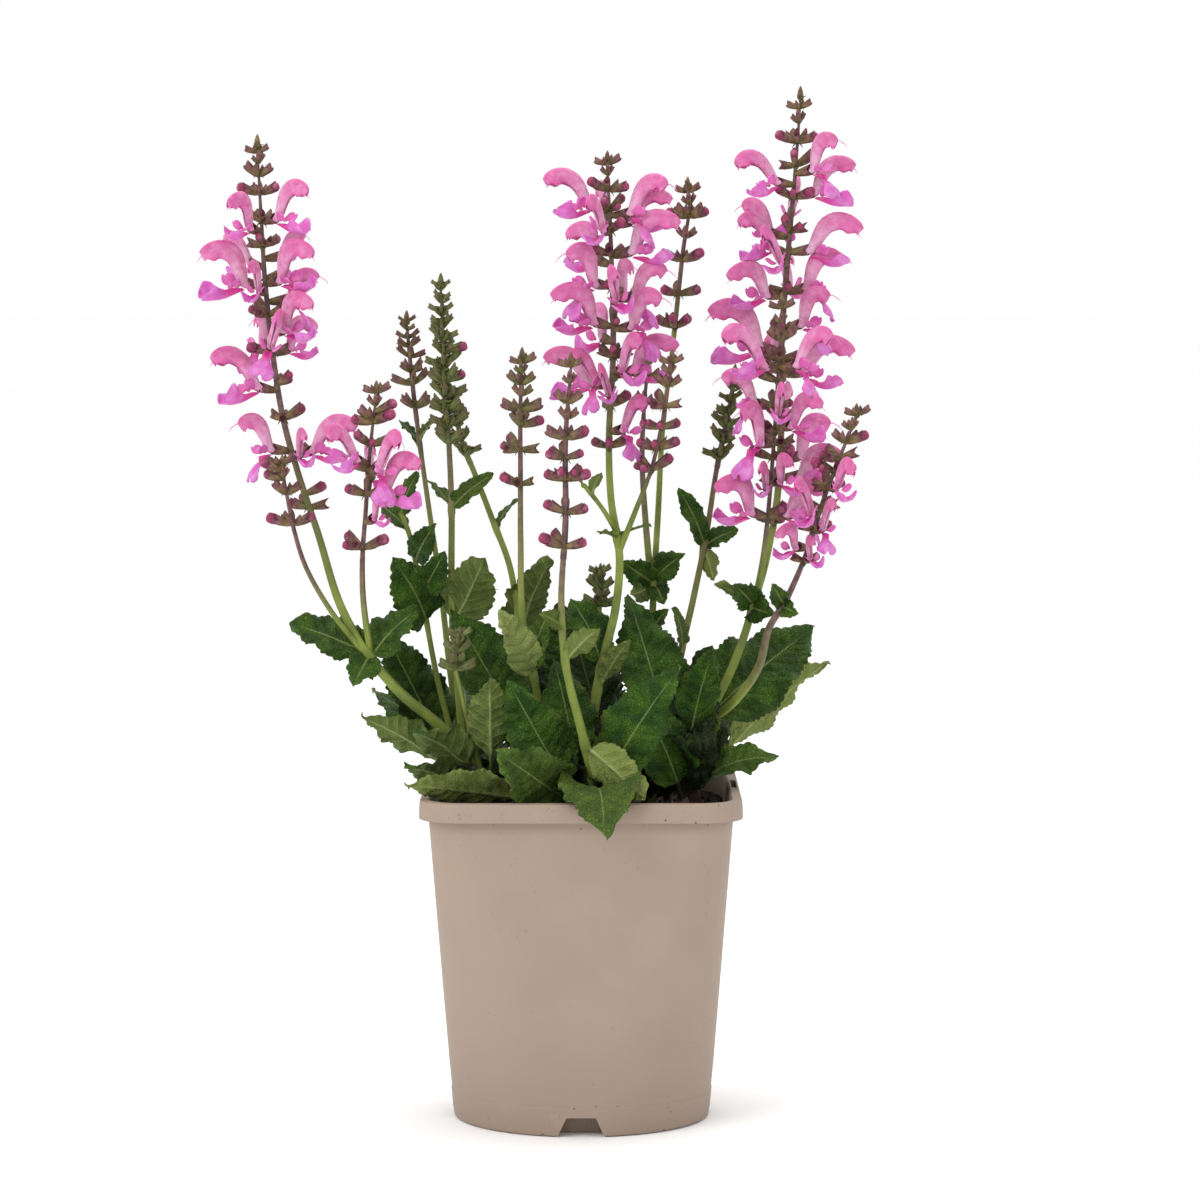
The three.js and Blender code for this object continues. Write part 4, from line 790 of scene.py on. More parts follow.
def sage_leaf(place):
    """A wrinkled upper side with a pale midrib, a duller netted underside and a scorched rim."""
    graph = place.graph
    along, across, reach, rim, tone, under, bare, leaf = place.stored(
        "along", "across", "reach", "rim", "tone", "under", "bare", "leaf")
    flat = graph.node("ShaderNodeCombineXYZ", {0: along, 1: across, 2: leaf * 9.0})
    drift = flat.cloud(0.12, 4.0)
    cells, small_cells = (graph.node("ShaderNodeTexVoronoi", {"Vector": flat, "Scale": scale},
                                     out="Distance", feature="DISTANCE_TO_EDGE")
                          for scale in (0.72, 1.9))
    puff = cells.ramp(0.0, 0.32) * 0.65 + small_cells.ramp(0.0, 0.3) * 0.35
    # How much of the veins, midrib and scorch shows: little on a leaf painted in deep shade.
    outside_painted_shade = tone.ramp(-1.0, 0.0) * 0.8 + 0.2
    out = across.math("ABSOLUTE")
    midrib = (out + reach * 0.3).ramp(0.75, 0.3) * reach.ramp(1.0, 0.8) * outside_painted_shade * 0.75
    slant = (along - out * VEIN_SLANT
             + (across * 0.16 + leaf).math("SINE") * 1.2) * (math.pi / VEIN_PITCH)
    side_vein = slant.math("SINE").math("ABSOLUTE").ramp(0.2, 0.04) * rim.ramp(1, 0.8)
    # Tones above 1 are painted light, and tones below 0 painted shade, deepest at -1.
    pale, painted_light, painted_shade = tone.ramp(0.15, 1.0), tone.ramp(1.0, 2.0), tone.ramp(0.0, -1.0)
    upper = drift.ramp(0.35, 0.68).blend("264A0A", "4A7016").coat(
        (pale, "76843A"), (painted_light, "C4CE84"), (painted_shade, "12200A"),
        # Painted shade in the grooves between the pillows, and painted highlights on the pillows.
        (puff.ramp(0.6, 0.05) * tone.ramp(1.2, 0.0) * 0.55, "16300A"),
        (puff.ramp(0.6, 1.0) * drift.ramp(0.35, 0.65) * 0.6, "66822F"),
        # Pale side veins, then fine pale specks that are painted highlights.
        (side_vein * outside_painted_shade * 0.3, "5E7232"), (flat.cloud(2.6, 1.0).ramp(0.7, 0.76) * 0.5, "8A9E62"),
        (midrib, "8F9C5C"))
    lower = drift.ramp(0.3, 0.7).blend("4A5C22", "66773A").coat(
        (tone.ramp(0.3, 1.0), "808C48"), (painted_light, "C4CE84"), (painted_shade, "1C2C0C"),
        (cells.ramp(0.10, 0.02) * outside_painted_shade * 0.3, "76874A"), (side_vein * outside_painted_shade * 0.5, "8A9A5A"),
        (midrib, "9AA668"))
    scorch = rim.ramp(0.93, 1.0) * place.cloud(75).ramp(0.5, 0.62) * outside_painted_shade * 0.75
    face = under.blend(upper, lower).coat((scorch, "6E4E2C"))
    # Stalks darken towards the soil: partly their own brown-purple, partly painted shade at the clump's
    # base.
    stalk = (place.height().ramp(195 * MM, 155 * MM) * 0.9).blend("74823A", "38261E")
    height = (puff - side_vein * 0.5) * (1.0 - under * 1.5)
    return bare.blend(face, stalk), 0.42 + under * 0.3 + drift * 0.15, height.relief(0.8)


def inner_leaves(foot, count, spread, rise):
    """Short leaves about a foot, painted in deep shade and set by the golden angle. Spread is the
    least and the most that they reach outwards, and rise upwards."""
    blades = []
    for number in range(count):
        turn = foot[0] + number * GOLDEN_ANGLE
        out = spread[0] + (spread[1] - spread[0]) * ((number * GOLDEN_SHARE) % 1)
        lift = rise[0] + (rise[1] - rise[0]) * ((number * 0.382 + 0.3) % 1)
        tip = (foot[0] + out * math.cos(turn), foot[1] + out * math.sin(turn), SOIL_TOP + lift)
        blades.append(leaf_shape((*foot, SOIL_TOP + 2), tip, 4, 13 + lift * 0.16,
                                 40 * math.sin(turn), 0.25, PAINTED_SHADE_TONE, turn))
    return blades


leaf_finish = make_finish("sage_leaf", sage_leaf, Specular_IOR_Level=0.28)
turn_of_leaf = 0.0
LEAF_TURN = 1.7                 # added from each leaf to the next, so that no two wave alike
FOOT_LEAVES, FOOT_SPREAD, FOOT_RISE = 6, (10, 24), (14, 40)     # inner leaves about a stem's foot
for stem_name, axes in STEMS.items():
    foot = AXES[next(iter(axes))][2][0]
    blades = inner_leaves(foot[:2], FOOT_LEAVES, FOOT_SPREAD, FOOT_RISE)
    for axis, stem_leaves in axes.items():
        for height, tip, *form in stem_leaves:
            turn_of_leaf += LEAF_TURN
            blades.append(leaf_shape(axis_point(axis, height), tip, *form, turn_of_leaf))
    foliage = new_piece(stem_name + "_leaves", combine(blades), leaf_finish)
    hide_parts(stem_name)
    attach(foliage, "root")

# A crown, from its foot in the soil to its top: heights, shares of its radius and flush.
CROWN_RADIUS = 4.4
CROWN_RINGS = ((127.0, 1, 0.9), (140, 1, 0.9), (148, 0.98, 0.8), (152, 0.85, 0.6), (156, 0.5, 0.4))
CROWN_LEAVES = 20               # inner leaves about one crown
for rosette_name, (foot, rosette_leaves) in ROSETTES.items():
    # At the right, inner leaves keep off the pot's rim, and at the back they stand taller.
    is_right, is_back = foot[0] > 40, foot[1] > 30
    blades = inner_leaves(foot, CROWN_LEAVES, (10, 20 if is_right else 34),
                          (24, 74 if is_back else 62))
    for tip, *form in rosette_leaves:
        turn_of_leaf += LEAF_TURN
        blades.append(leaf_shape((*foot, SOIL_TOP + 4), tip, *form, turn_of_leaf))
    foliage = new_piece(rosette_name + "_leaves", combine(blades), leaf_finish)
    crown = np.array([(*foot, height) for height, _, _ in CROWN_RINGS], float)
    _, thickness, flush = np.array(CROWN_RINGS).T
    crown_piece = new_piece(rosette_name + "_crown", wire_through(
        crown, {"thickness": CROWN_RADIUS * thickness, "flush": flush}))
    grow(crown_piece, STALK_TREE, STALK)
    for piece, slot in ((foliage, "leaf"), (crown_piece, "stem")):
        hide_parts(rosette_name)
        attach(piece, "root")

# ---------------------------------------------------------------------------------------------
# Flower heads. Each is a dark square axis with whorls of two-lipped, ribbed, brown-purple calyces.
# The oldest whorls hold open corollas or have dropped them, the next hold crimson buds, and the
# tip is a cone of young green buds with small pointed bracts between them.

CALYX_REACH = 10.5
CALYX_SIZE = 0.9
CALYX_TURN = 110                # turn between two main calyces of a whorl
CALYX_SPREAD = 6                # how near in height a flower stands in a calyx's place
BESIDE_TURN, BESIDE_SPREAD = 28, 9      # how near a flower keeps a second calyx away
YOUNG_SHARE, CROWDED_SHARE = 0.68, 0.46     # how grown the youngest buds are
YOUNG_GROWTH = 0.08             # added with each whorl from the tip
CALYX_RISE, YOUNG_RISE, BUD_RISE, COROLLA_RISE = 14, 24, 12, 5      # degrees above level
SWAY = 12                       # degrees that a calyx may stand higher or lower than that
LEAFY = 0.5                     # a greener head than this is still closed and has more bracts
# The kinds of what stands on a head, in the order of PART_SHAPES below. The kinds from COROLLA on
# are corollas of several forms. The axis has a kind of its own.
AXIS, OPEN_CALYX, YOUNG_BUD, SLIM_BUD, BRACT, TIP_BUD, COLOURED_BUD, COROLLA = range(-1, 7)
COROLLA_FORMS = 3
RIBS = np.arange(12) % 2        # ribs and furrows round a calyx
ROUND = np.radians(np.arange(12) * 30)

# A flower head, by the axis that it stands on: how many whorls from the tip are young buds, and
# whether these are crowded, slim on four sides of the axis, or in pairs on two; how green it still
# is; the whorls' depths below the tip; the open corollas as (depth, bearing, size); the coloured
# buds as (depth, bearing). A bearing of 0 is +X, and 270 the front.
HEADS = {
    "a": (4, False, 0.12, [7, 12, 18, 26, 39, 50, 65, 82, 99, 114, 130, 147, 171],
        [(39, 320, 0.95), (44, 240, 0.9), (56, 45, 0.75), (69, 205, 1.1), (68, 320, 1.05), (76, 5, 0.8),
         (72, 255, 0.75), (91, 315, 1), (97, 270, 0.95), (117, 210, 1.05), (100, 45, 0.85),
         (145, 205, 0.9), (148, 290, 0.7), (147, 340, 0.95), (97, 120, 0.9), (60, 130, 0.85)],
        [(26, 200), (26, 340), (99, 200), (165, 350), (171, 180)]),
    "a_low": (4, False, 0.12, [3, 9, 17, 31], [], [(6, 200), (10, 160), (31, 180), (31, 20)]),
    "a_side": (3, False, 0.12, [4, 10, 17, 28, 40, 51, 76],
        [(37, 240, 0.95), (40, 300, 1), (51, 325, 1), (64, 300, 0.6), (44, 80, 0.85)],
        [(13, 350), (18, 190), (18, 330), (28, 20), (51, 180), (76, 0)]),
    "b": (8, True, 0.3, [4, 8, 12, 16, 21, 28, 34, 45], [], []),
    "c": (12, True, 0.8, [5, 11, 17, 23, 29, 35, 42, 49, 56, 63, 70, 77], [], [(35, 0), (49, 350)]),
    "c_back": (5, True, 0.8, [5, 11, 17, 24, 31], [], []),
    "d": (6, False, 0.45, [6, 11, 16, 21, 28, 35, 46, 62], [], [(35, 0), (62, 180)]),
    "e": (5, False, 0.12, [5, 13, 22, 29, 38, 47, 57, 72, 88],
        [], [(38, 0), (57, 180), (57, 340), (72, 180), (72, 0), (88, 190), (88, 350)]),
    "f": (2, False, 0.12, [5, 10, 17, 26, 36, 47, 63, 79, 95, 106, 118, 137],
        [(27, 205, 1), (29, 340, 1), (37, 250, 0.9), (48, 345, 1.05), (62, 215, 1.05), (69, 280, 0.9),
         (81, 205, 1.05), (82, 330, 1), (102, 295, 0.95), (104, 0, 0.95), (108, 230, 0.9),
         (109, 175, 1), (114, 265, 0.8), (130, 310, 0.9), (30, 100, 0.9), (52, 135, 1), (66, 60, 0.9),
         (88, 120, 0.95), (34, 355, 0.85), (68, 350, 0.9)],
        [(17, 200), (17, 340), (36, 300), (47, 190), (137, 270)]),
    "f_right": (3, False, 0.12, [5, 10, 16, 25, 35, 45, 55], [], [(45, 0), (35, 190)]),
    "g": (5, False, 0.2, [6, 12, 18, 28, 39, 55, 71], [], [(18, 180), (18, 0), (39, 330)]),
    "g_low": (4, False, 0.4, [5, 12, 20, 30], [], []),
    "h": (7, True, 0.75, [5, 10, 16, 22, 28, 35, 43], [], []),
    "i": (2, False, 0.12, [9, 16, 25, 36, 51, 67, 79, 95, 116, 134, 156, 168, 186, 205],
        [(40, 325, 0.9), (51, 0, 0.95), (45, 215, 0.95), (70, 145, 0.9), (77, 215, 0.9),
         (77, 355, 1.05), (96, 350, 1), (83, 250, 0.9), (98, 210, 1), (113, 335, 0.95), (124, 182, 1.2),
         (135, 5, 1.05), (60, 90, 0.9), (95, 75, 0.95), (130, 105, 1), (176, 20, 1.05), (158, 80, 0.9),
         (184, 340, 0.95), (203, 345, 0.95)], [(25, 190), (25, 350), (51, 320), (116, 60)]),
    "i_low": (3, False, 0.12, [6, 13, 21, 30, 40, 52, 64, 76, 88, 104],
        [(35, 225, 1.1), (34, 325, 1), (62, 320, 0.9), (57, 275, 0.8), (70, 230, 1.05), (88, 295, 0.8),
         (104, 215, 1.05), (52, 195, 0.9), (104, 330, 0.95), (92, 256, 0.7)],
        [(30, 190), (30, 350), (76, 200), (76, 340), (102, 320)]),
    "j": (3, False, 0.12, [4, 11, 17, 24, 30, 38, 47, 57, 72],
        [(51, 250, 0.9), (38, 290, 0.85), (58, 290, 0.75), (72, 285, 0.6), (66, 230, 0.75)],
        [(17, 0), (30, 350), (30, 200)]),
    "bud_mid": (5, False, 0.9, [3, 7, 11, 15, 19], [], []),
    "bud_left": (5, False, 1.0, [3, 7, 11, 15, 19], [], []),
}


def tube_shape(rings, layers):
    """A closed skin over rings, with values given once for each ring or once for each point."""
    points, faces, _ = skin(rings)
    return points, faces, {name: np.ravel(values) if np.ndim(values) == 2
                           else np.repeat(values, len(rings[0]))
                           for name, values in layers.items()}


def oval_ring(reach, wide, high, rise):
    """A ring about the +X axis; the reach is one number, or one for each point."""
    return np.column_stack([reach + 0 * ROUND, wide * np.cos(ROUND), high * np.sin(ROUND) + rise])


def calyx_shape():
    """A two-lipped wedge with ribs: a broad upper lip, and a lower lip cut to two teeth."""
    teeth = np.array([-1.5, -0.7, 0.5, 0.9, 0.5, -0.7, -1.5, -0.4, 1.0, 0.1, 1.0, -0.4])
    rings = []
    for reach, wide, high, cut in ((-0.7, 0.7, 0.7, 0), (2.4, 1.5, 1.7, 0.1), (6.6, 1.9, 2.4, 0.45),
                                   (9.5, 2.0, 2.7, 1.0), (5.8, 1.1, 1.5, 0.3)):
        swell = 1 + 0.1 * (RIBS - 0.5) * (reach > 1)
        rings.append(oval_ring(reach + teeth * cut, wide * swell, high * swell, 0.012 * reach ** 2))
    return tube_shape(rings, {"along": [0, 0.3, 0.7, 1, 0.6], "inside": [0, 0, 0, 0.15, 1],
                              "rib": [RIBS] * 5})


def young_bud_shape(girth):
    """A calyx that is still shut: a ribbed wedge, its two lips folded together at the end."""
    point = np.array([0, 0.1, 0.5, 0.8, 0.5, 0.1, 0, 0.1, 1.0, 0.2, 1.0, 0.1])
    swell = (0.95 + 0.1 * RIBS) * girth
    rings = [oval_ring(reach + point * cut, wide * swell, high * swell, 0.014 * reach ** 2)
             for reach, wide, high, cut in ((-0.7, 0.8, 0.8, 0), (2.6, 1.6, 1.8, 0),
                                            (7.0, 1.7, 2.5, 0.3), (9.2, 1.2, 2.6, 1.0),
                                            (9.8, 0.2, 1.7, 0.9))]
    return tube_shape(rings, {"along": [0, 0.3, 0.75, 0.95, 1], "rib": [RIBS] * 5})


def hood_shape(lean, curl):
    """The upper lip: a pale tube that widens into a flattened sickle, open underneath. It leans
    outwards and curls by the given shares."""
    line = smooth_line([(-2.2, -0.2, 1.4, 1.3), (0.6, 0.8, 2.1, 1.7), (2.8, 4.2, 2.7, 2.1),
                        (4.8, 8.2, 3.3, 2.2), (7.4, 11.7, 3.9, 2.1), (10.8, 13.6, 4.1, 1.9),
                        (14.4, 13.8, 3.8, 1.8), (17.4, 12.8, 3.4, 1.6), (19.6, 11.4, 2.7, 1.2),
                        (20.8, 10.4, 1.7, 0.6)], 2)
    share = np.linspace(0, 1, len(line))
    line[:, 0] *= 1 + lean
    line[:, 1] *= 1 - curl * share ** 2
    ahead = unit(np.gradient(line[:, :2], axis=0))
    opening = np.interp(share, [0, 0.18, 0.42, 1], [178, 176, 162, 140])
    rings, girth = [], []
    for (u, w, high, wide), (du, dw), reach, s in zip(line, ahead, opening, share):
        turn = np.radians(np.linspace(-reach, reach, 13))
        crease = np.exp(-((np.abs(turn) - 1.2) / 0.35) ** 2)
        flare = np.clip(s * 2 - 0.9, 0, 1) * np.clip(np.abs(turn) - 1.3, 0, 1)
        flat = 1 - 0.14 * np.cos(turn * 2) - 0.1 * crease + flare * (0.9 + 0.5 * math.sin(s * 26))
        drop = flare * (1.3 + 1.1 * math.sin(s * 19 + curl * 30))
        loop = list(zip(wide * np.sin(turn) * flat, high * np.cos(turn) - drop))
        inner = max(0.3, 1 - 0.3 / high)
        loop += [(x * inner, z * inner + 0.1) for x, z in reversed(loop)]
        rings.append(np.array([(u - dw * z, x, w + du * z) for x, z in loop])[::-1])
        girth.append(np.abs(np.concatenate([turn, turn[::-1]])[::-1] / math.pi))
    return tube_shape(rings, {"along": share, "girth": girth})


def lip_shape(bend, cup, length):
    """The lower lip: a channelled neck and a broad, notched middle lobe. The lobe bends down, or
    up where bend is negative. Its sides stand up like a cup's, or hang where cup is negative."""
    share = np.linspace(0, 1, 15)
    heading = np.radians(-30 - bend * np.clip(share * 1.9 - 0.7, 0, 1))
    step = length / 14
    reach = -0.8 + np.cumsum(np.cos(heading)) * step
    drop = -1.4 + np.cumsum(np.sin(heading)) * step
    half = np.interp(share, [0, 0.18, 0.36, 0.52, 0.7, 0.84, 0.94, 1],
                     [1.4, 2.2, 2.6, 4.2, 6.8, 7.2, 5.8, 3.4])[:, None]
    edge = np.interp(share, [0, 0.18, 0.38, 0.52, 0.68, 0.86, 0.95, 1],
                     [0.3, 1.8, 2.4, 4.0, 7.0, 6.6, 4.4, 1.8])[:, None]
    t = np.linspace(-1, 1, 13)
    along = share[:, None] * np.ones_like(t)
    bulge = np.abs(t) ** 2
    ruffle = 0.75 * np.sin(t * 8 + along * 9) * np.clip(along * 2 - 0.7, 0, 1) * (0.3 + bulge)
    lift = bulge * edge * np.where(along < 0.35, 1, cup) + ruffle
    notch = -2.4 * np.exp(-(t / 0.28) ** 2) * np.clip(along * 5 - 4, 0, 1) ** 2
    ahead, up = np.cos(heading)[:, None], np.sin(heading)[:, None]
    grid = np.stack([reach[:, None] + notch * ahead - lift * up, half * t * (1 - 0.16 * bulge),
                     drop[:, None] + notch * up + lift * ahead], axis=-1)
    return sheet(grid, 0.18, 0.18, {"along": along, "lip": np.ones_like(along)})


def side_lobe_shape(hand):
    """A rounded lobe that stands out at one side of the lower lip's neck."""
    s = np.linspace(0, 1, 7)[:, None]
    t = np.linspace(-1, 1, 6)[None, :]
    half = 2.9 * np.sin(np.pi * (0.14 + 0.8 * s)) ** 0.6
    out = 4.6 + 3 * s + half * t * 0.9
    across = hand * (1.6 + 4.4 * s - 0.8 * s ** 2) * np.ones_like(t)
    up = -1 + 4.4 * s - 1.4 * s ** 2 - half * t * 0.4 + 0.5 * np.sin(3 * t + 5 * s)
    grid = np.stack([out, across, up], axis=-1)[:, ::hand]
    share = (0.35 + 0.5 * s) * np.ones_like(t)
    return sheet(grid, 0.16, 0.16, {"along": share, "lip": np.full_like(share, 0.6)})


def style_shape(path, radius):
    """The style: a thin four-sided thread along a path in the flower's middle plane."""
    line = np.array(path, float)
    ahead = unit(np.gradient(line, axis=0))
    rings = [np.array([(u - dw * r, 0, w + du * r), (u, r, w), (u + dw * r, 0, w - du * r),
                       (u, -r, w)])[::-1]
             for (u, w), (du, dw), r in zip(line, ahead, radius)]
    return tube_shape(rings, {"along": np.full(len(line), 0.9), "lip": np.full(len(line), 0.6)})


def corolla_shape(lean, curl, bend, cup, length):
    """A whole corolla: hood, lower lip with its two side lobes, and the style's tip."""
    style = style_shape([(15 * (1 + lean), 12 * (1 - curl * 0.6)), (18.5, 11.6 - curl * 9),
                         (21, 9.6 - curl * 10), (22.2, 7.6 - curl * 10)], (0.25, 0.25, 0.22, 0.1))
    return combine([hood_shape(lean, curl), lip_shape(bend, cup, length), side_lobe_shape(1),
                    side_lobe_shape(-1), style])


def bract_shape():
    """A small broad leaf with a point that stands under a whorl."""
    s = np.linspace(0, 1, 5)[:, None]
    t = np.linspace(-1, 1, 5)[None, :]
    half = 2.4 * np.maximum(0.04, np.sin(np.pi * (0.16 + 0.84 * s) ** 0.8))
    out = -0.5 + 5.4 * s + 0 * t
    up = 0.4 + 1.2 * s - 2.2 * s ** 2 + half * np.abs(t) * 0.35
    grid = np.stack([out, half * t, up], axis=-1)
    return sheet(grid[:, ::-1], 0.14, 0.14, {"along": s * np.ones_like(t), "bract": 1 + 0 * s * t})


class Draws:
    """Repeatable draws, the same for the same seed."""

    def __init__(self, seed):
        self.count = seed * 97

    def jitter(self, amount):
        """The next draw, between minus and plus the amount."""
        self.count += 1
        wave = math.sin(self.count * 12.9898) * 43758.5453
        return (wave - math.floor(wave) - 0.5) * 2 * amount


def facing(bearing, rise):
    """Turn that points a part's own +X outwards at a bearing and raises it."""
    flat, lift = math.radians(bearing), math.radians(rise)
    out = Vector((math.cos(flat) * math.cos(lift), math.sin(flat) * math.cos(lift),
                  math.sin(lift)))
    across = Vector((0, 0, 1)).cross(out).normalized()
    return Matrix((out, across, out.cross(across))).transposed()


def angle_between(first, second):
    """The smaller angle between two bearings."""
    return abs((second - first + 540) % 360 - 180)


class Spray:
    """The places, turns, sizes and kinds of all that stands on one flower head."""

    def __init__(self, green):
        self.green = green
        self.rows = []

    def add(self, kind, place, bearing, rise, size, ahead=0.0, roll=0.0):
        """Stands a part at a place, or ahead of it, turned to a bearing, raised and rolled."""
        turn = facing(bearing, rise) @ Matrix.Rotation(math.radians(roll), 3, "X")
        at = Vector(place) + turn @ Vector((ahead, 0, 0))
        shade = (len(self.rows) * GOLDEN_SHARE) % 1
        self.rows.append((kind, tuple(at), tuple(turn.to_euler()), size, self.green, shade))

    def shape(self):
        """Points, with what stands on them stored."""
        kinds, places, turns, sizes, greens, shades = zip(*self.rows)
        return (np.array(places), [], {"kind": kinds, "turn": turns, "size": sizes,
                                       "green": greens, "shade": shades})


def add_tip(spray, axis, tip):
    """The point of a flower head: its last bud between small bracts."""
    spray.add(TIP_BUD, axis_point(axis, tip - 5.4), 0, 88, 0.9)
    for k in range(6):
        spray.add(BRACT, axis_point(axis, tip - 6 + k * 0.5), k * 137, 50 + k * 5,
                  0.8 - k * 0.05)


def add_young_whorl(spray, place, order, crowded, draws):
    """One whorl of young buds, by its number from the tip."""
    sides = 8 if crowded else 4
    grown = min(1, (CROWDED_SHARE if crowded else YOUNG_SHARE) + YOUNG_GROWTH * order)
    for k in range(order % 2, sides, 2):
        size = 0.92 * grown * (1 + draws.jitter(0.12))
        bearing = k / sides * 360 + math.degrees(draws.jitter(0.15))
        rise = YOUNG_RISE + 13 * math.sin(k * 2.4 + order * 1.3)
        if not crowded:
            spray.add(YOUNG_BUD, place, bearing, rise, size)
            spray.add(YOUNG_BUD, place, bearing + 55, rise + 14, size * 0.76)
            spray.add(BRACT, place, bearing, -14, size * 0.7)
            continue
        spray.add(SLIM_BUD, place, bearing, rise, size * 1.1)
        spray.add(BRACT, place, bearing + 24, rise + 14, size * 1.25)
        if spray.green > LEAFY:
            spray.add(SLIM_BUD, place - [0, 0, 2], bearing + 40, rise + 12, size * 0.9)
            spray.add(BRACT, place, bearing - 20, rise + 22, size * 1.6)


def add_grown_whorl(spray, place, order, depth, corollas, buds, draws):
    """One whorl of three calyces, most with a second one beside them. Where a corolla or a
    coloured bud stands, its own calyx takes the place."""
    # A calyx strays from its whorl by a share from -1 to 1, and one that strays higher than this
    # still holds a bud: none does in a green head, and more do where no corolla is open yet.
    emptied = 1 if spray.green > LEAFY else -0.1 if corollas else -0.8
    turn = order * 45 + draws.jitter(12)
    for bearing in (turn, turn + CALYX_TURN, turn + 2 * CALYX_TURN):
        taken = any(abs(one[0] - depth) < CALYX_SPREAD
                    and angle_between(one[1], bearing) < CALYX_TURN / 2
                    for one in (*corollas, *buds))
        leans, rise = bearing + draws.jitter(10), CALYX_RISE + draws.jitter(8)
        size = CALYX_SIZE + draws.jitter(0.1)
        stray = math.sin(order * 5.1 + bearing)
        if not taken:
            spray.add(OPEN_CALYX, place, leans, rise + SWAY * stray, size + 0.08 * stray)
            if stray > emptied:
                spray.add(COLOURED_BUD, place, leans, rise + SWAY * stray,
                          size * (0.88 + 0.06 * stray))
        beside = leans + CALYX_TURN / 2
        if stray > -0.4 and all(angle_between(one[1], beside) > BESIDE_TURN
                                or abs(one[0] - depth) > BESIDE_SPREAD for one in corollas):
            spray.add(OPEN_CALYX, place, beside, rise + 8 - 16 * stray, size * 0.84)
            if stray > emptied + 0.6:
                spray.add(COLOURED_BUD, place, beside, rise + 8 - 16 * stray, size * 0.74)
    for half in (0, 180):
        spray.add(BRACT, place - [0, 0, 0.8], order * 90 + half, -34, 0.66)


def dress_head(axis, number):
    """Sets every bud, calyx, corolla and bract of a flower head in its place."""
    young, crowded, green, whorls, corollas, buds = HEADS[axis]
    draws, spray = Draws(number + 1), Spray(green)
    tip = AXES[axis][2][-1][2]
    add_tip(spray, axis, tip)
    for order, depth in enumerate(whorls[:young]):
        add_young_whorl(spray, axis_point(axis, tip - depth), order, crowded, draws)
    for order, depth in enumerate(whorls[young:]):
        add_grown_whorl(spray, axis_point(axis, tip - depth), order, depth, corollas, buds, draws)
    for order, (depth, bearing, size) in enumerate(corollas):
        place = axis_point(axis, tip - depth)
        rise = COROLLA_RISE + 4 * math.sin(order * 2.1 + number)
        roll = 18 * math.sin(order * 3.7 + number)
        form = COROLLA + (order * 2 + number) % COROLLA_FORMS
        spray.add(OPEN_CALYX, place, bearing, rise, 1.0, roll=roll)
        spray.add(form, place, bearing, rise, size * 1.05, CALYX_REACH - 0.6, roll)
    for order, (depth, bearing) in enumerate(buds):
        place = axis_point(axis, tip - depth)
        rise = BUD_RISE + 7 * math.sin(order * 2.6 + number)
        spray.add(OPEN_CALYX, place, bearing, rise, 0.9)
        spray.add(COLOURED_BUD, place, bearing, rise, 0.86 + 0.1 * math.sin(order * 4.1))
    return spray.shape()


def head_axis(axis):
    """The axis of a flower head, as a centre line with its thickness and flush."""
    start, (_, thin), path = AXES[axis]
    line = LINES[axis]
    foot, tip = start + 0.3, path[-1][2]
    within = line[(line[:, 2] > foot + 1) & (line[:, 2] < tip - 1)]
    line = np.vstack([axis_point(axis, foot), within, axis_point(axis, tip - 0.5)])
    rise = (line[:, 2] - foot) / (tip - foot)
    radius = np.interp(rise, [0, 0.6, 1], [thin, thin * 0.8, 0.6])
    return wire_through(line, {"thickness": radius, "flush": flush_of(axis, line[:, 2]),
                               "kind": np.full(len(line), AXIS)})


def head_tree(parts):
    """Geometry nodes that set the parts of a flower head on its points, one shape to a kind."""
    finishes = {"Stem finish": (AXIS, AXIS), "Calyx finish": (OPEN_CALYX, TIP_BUD),
                "Petal finish": (COLOURED_BUD, COROLLA + COROLLA_FORMS - 1)}
    graph, given = open_tree("flower_head", {"Axis": "Object", **dict.fromkeys(parts, "Object"),
                                             **dict.fromkeys(finishes, "Material")})
    kind, size, turn = (graph.node("GeometryNodeInputNamedAttribute", {"Name": name}, data_type=data)
                        for name, data in (("kind", "FLOAT"), ("size", "FLOAT"),
                                           ("turn", "FLOAT_VECTOR")))
    rotation = graph.node("FunctionNodeEulerToRotation", {0: turn})
    grown = [graph.node("GeometryNodeObjectInfo", {"Object": given["Axis"]}, out="Geometry")]
    for number, label in enumerate(parts):
        shape = graph.node("GeometryNodeObjectInfo", {"Object": given[label]}, out="Geometry")
        chosen = graph.node("FunctionNodeCompare", {0: kind, 1: float(number), "Epsilon": 0.1},
                            operation="EQUAL")
        grown.append(graph.node("GeometryNodeInstanceOnPoints", {
            "Points": given["Geometry"], "Selection": chosen, "Instance": shape,
            "Rotation": rotation, "Scale": size}))
    covered = []
    for label, (first, last) in finishes.items():
        above = graph.node("FunctionNodeCompare", {0: kind, 1: first - 0.5},
                           operation="GREATER_THAN")
        below = graph.node("FunctionNodeCompare", {0: kind, 1: last + 0.5}, operation="LESS_THAN")
        covered.append((given[label], graph.node("FunctionNodeBooleanMath", {0: above, 1: below},
                                                 operation="AND")))
    return close_tree(graph, grown[::-1], covered)


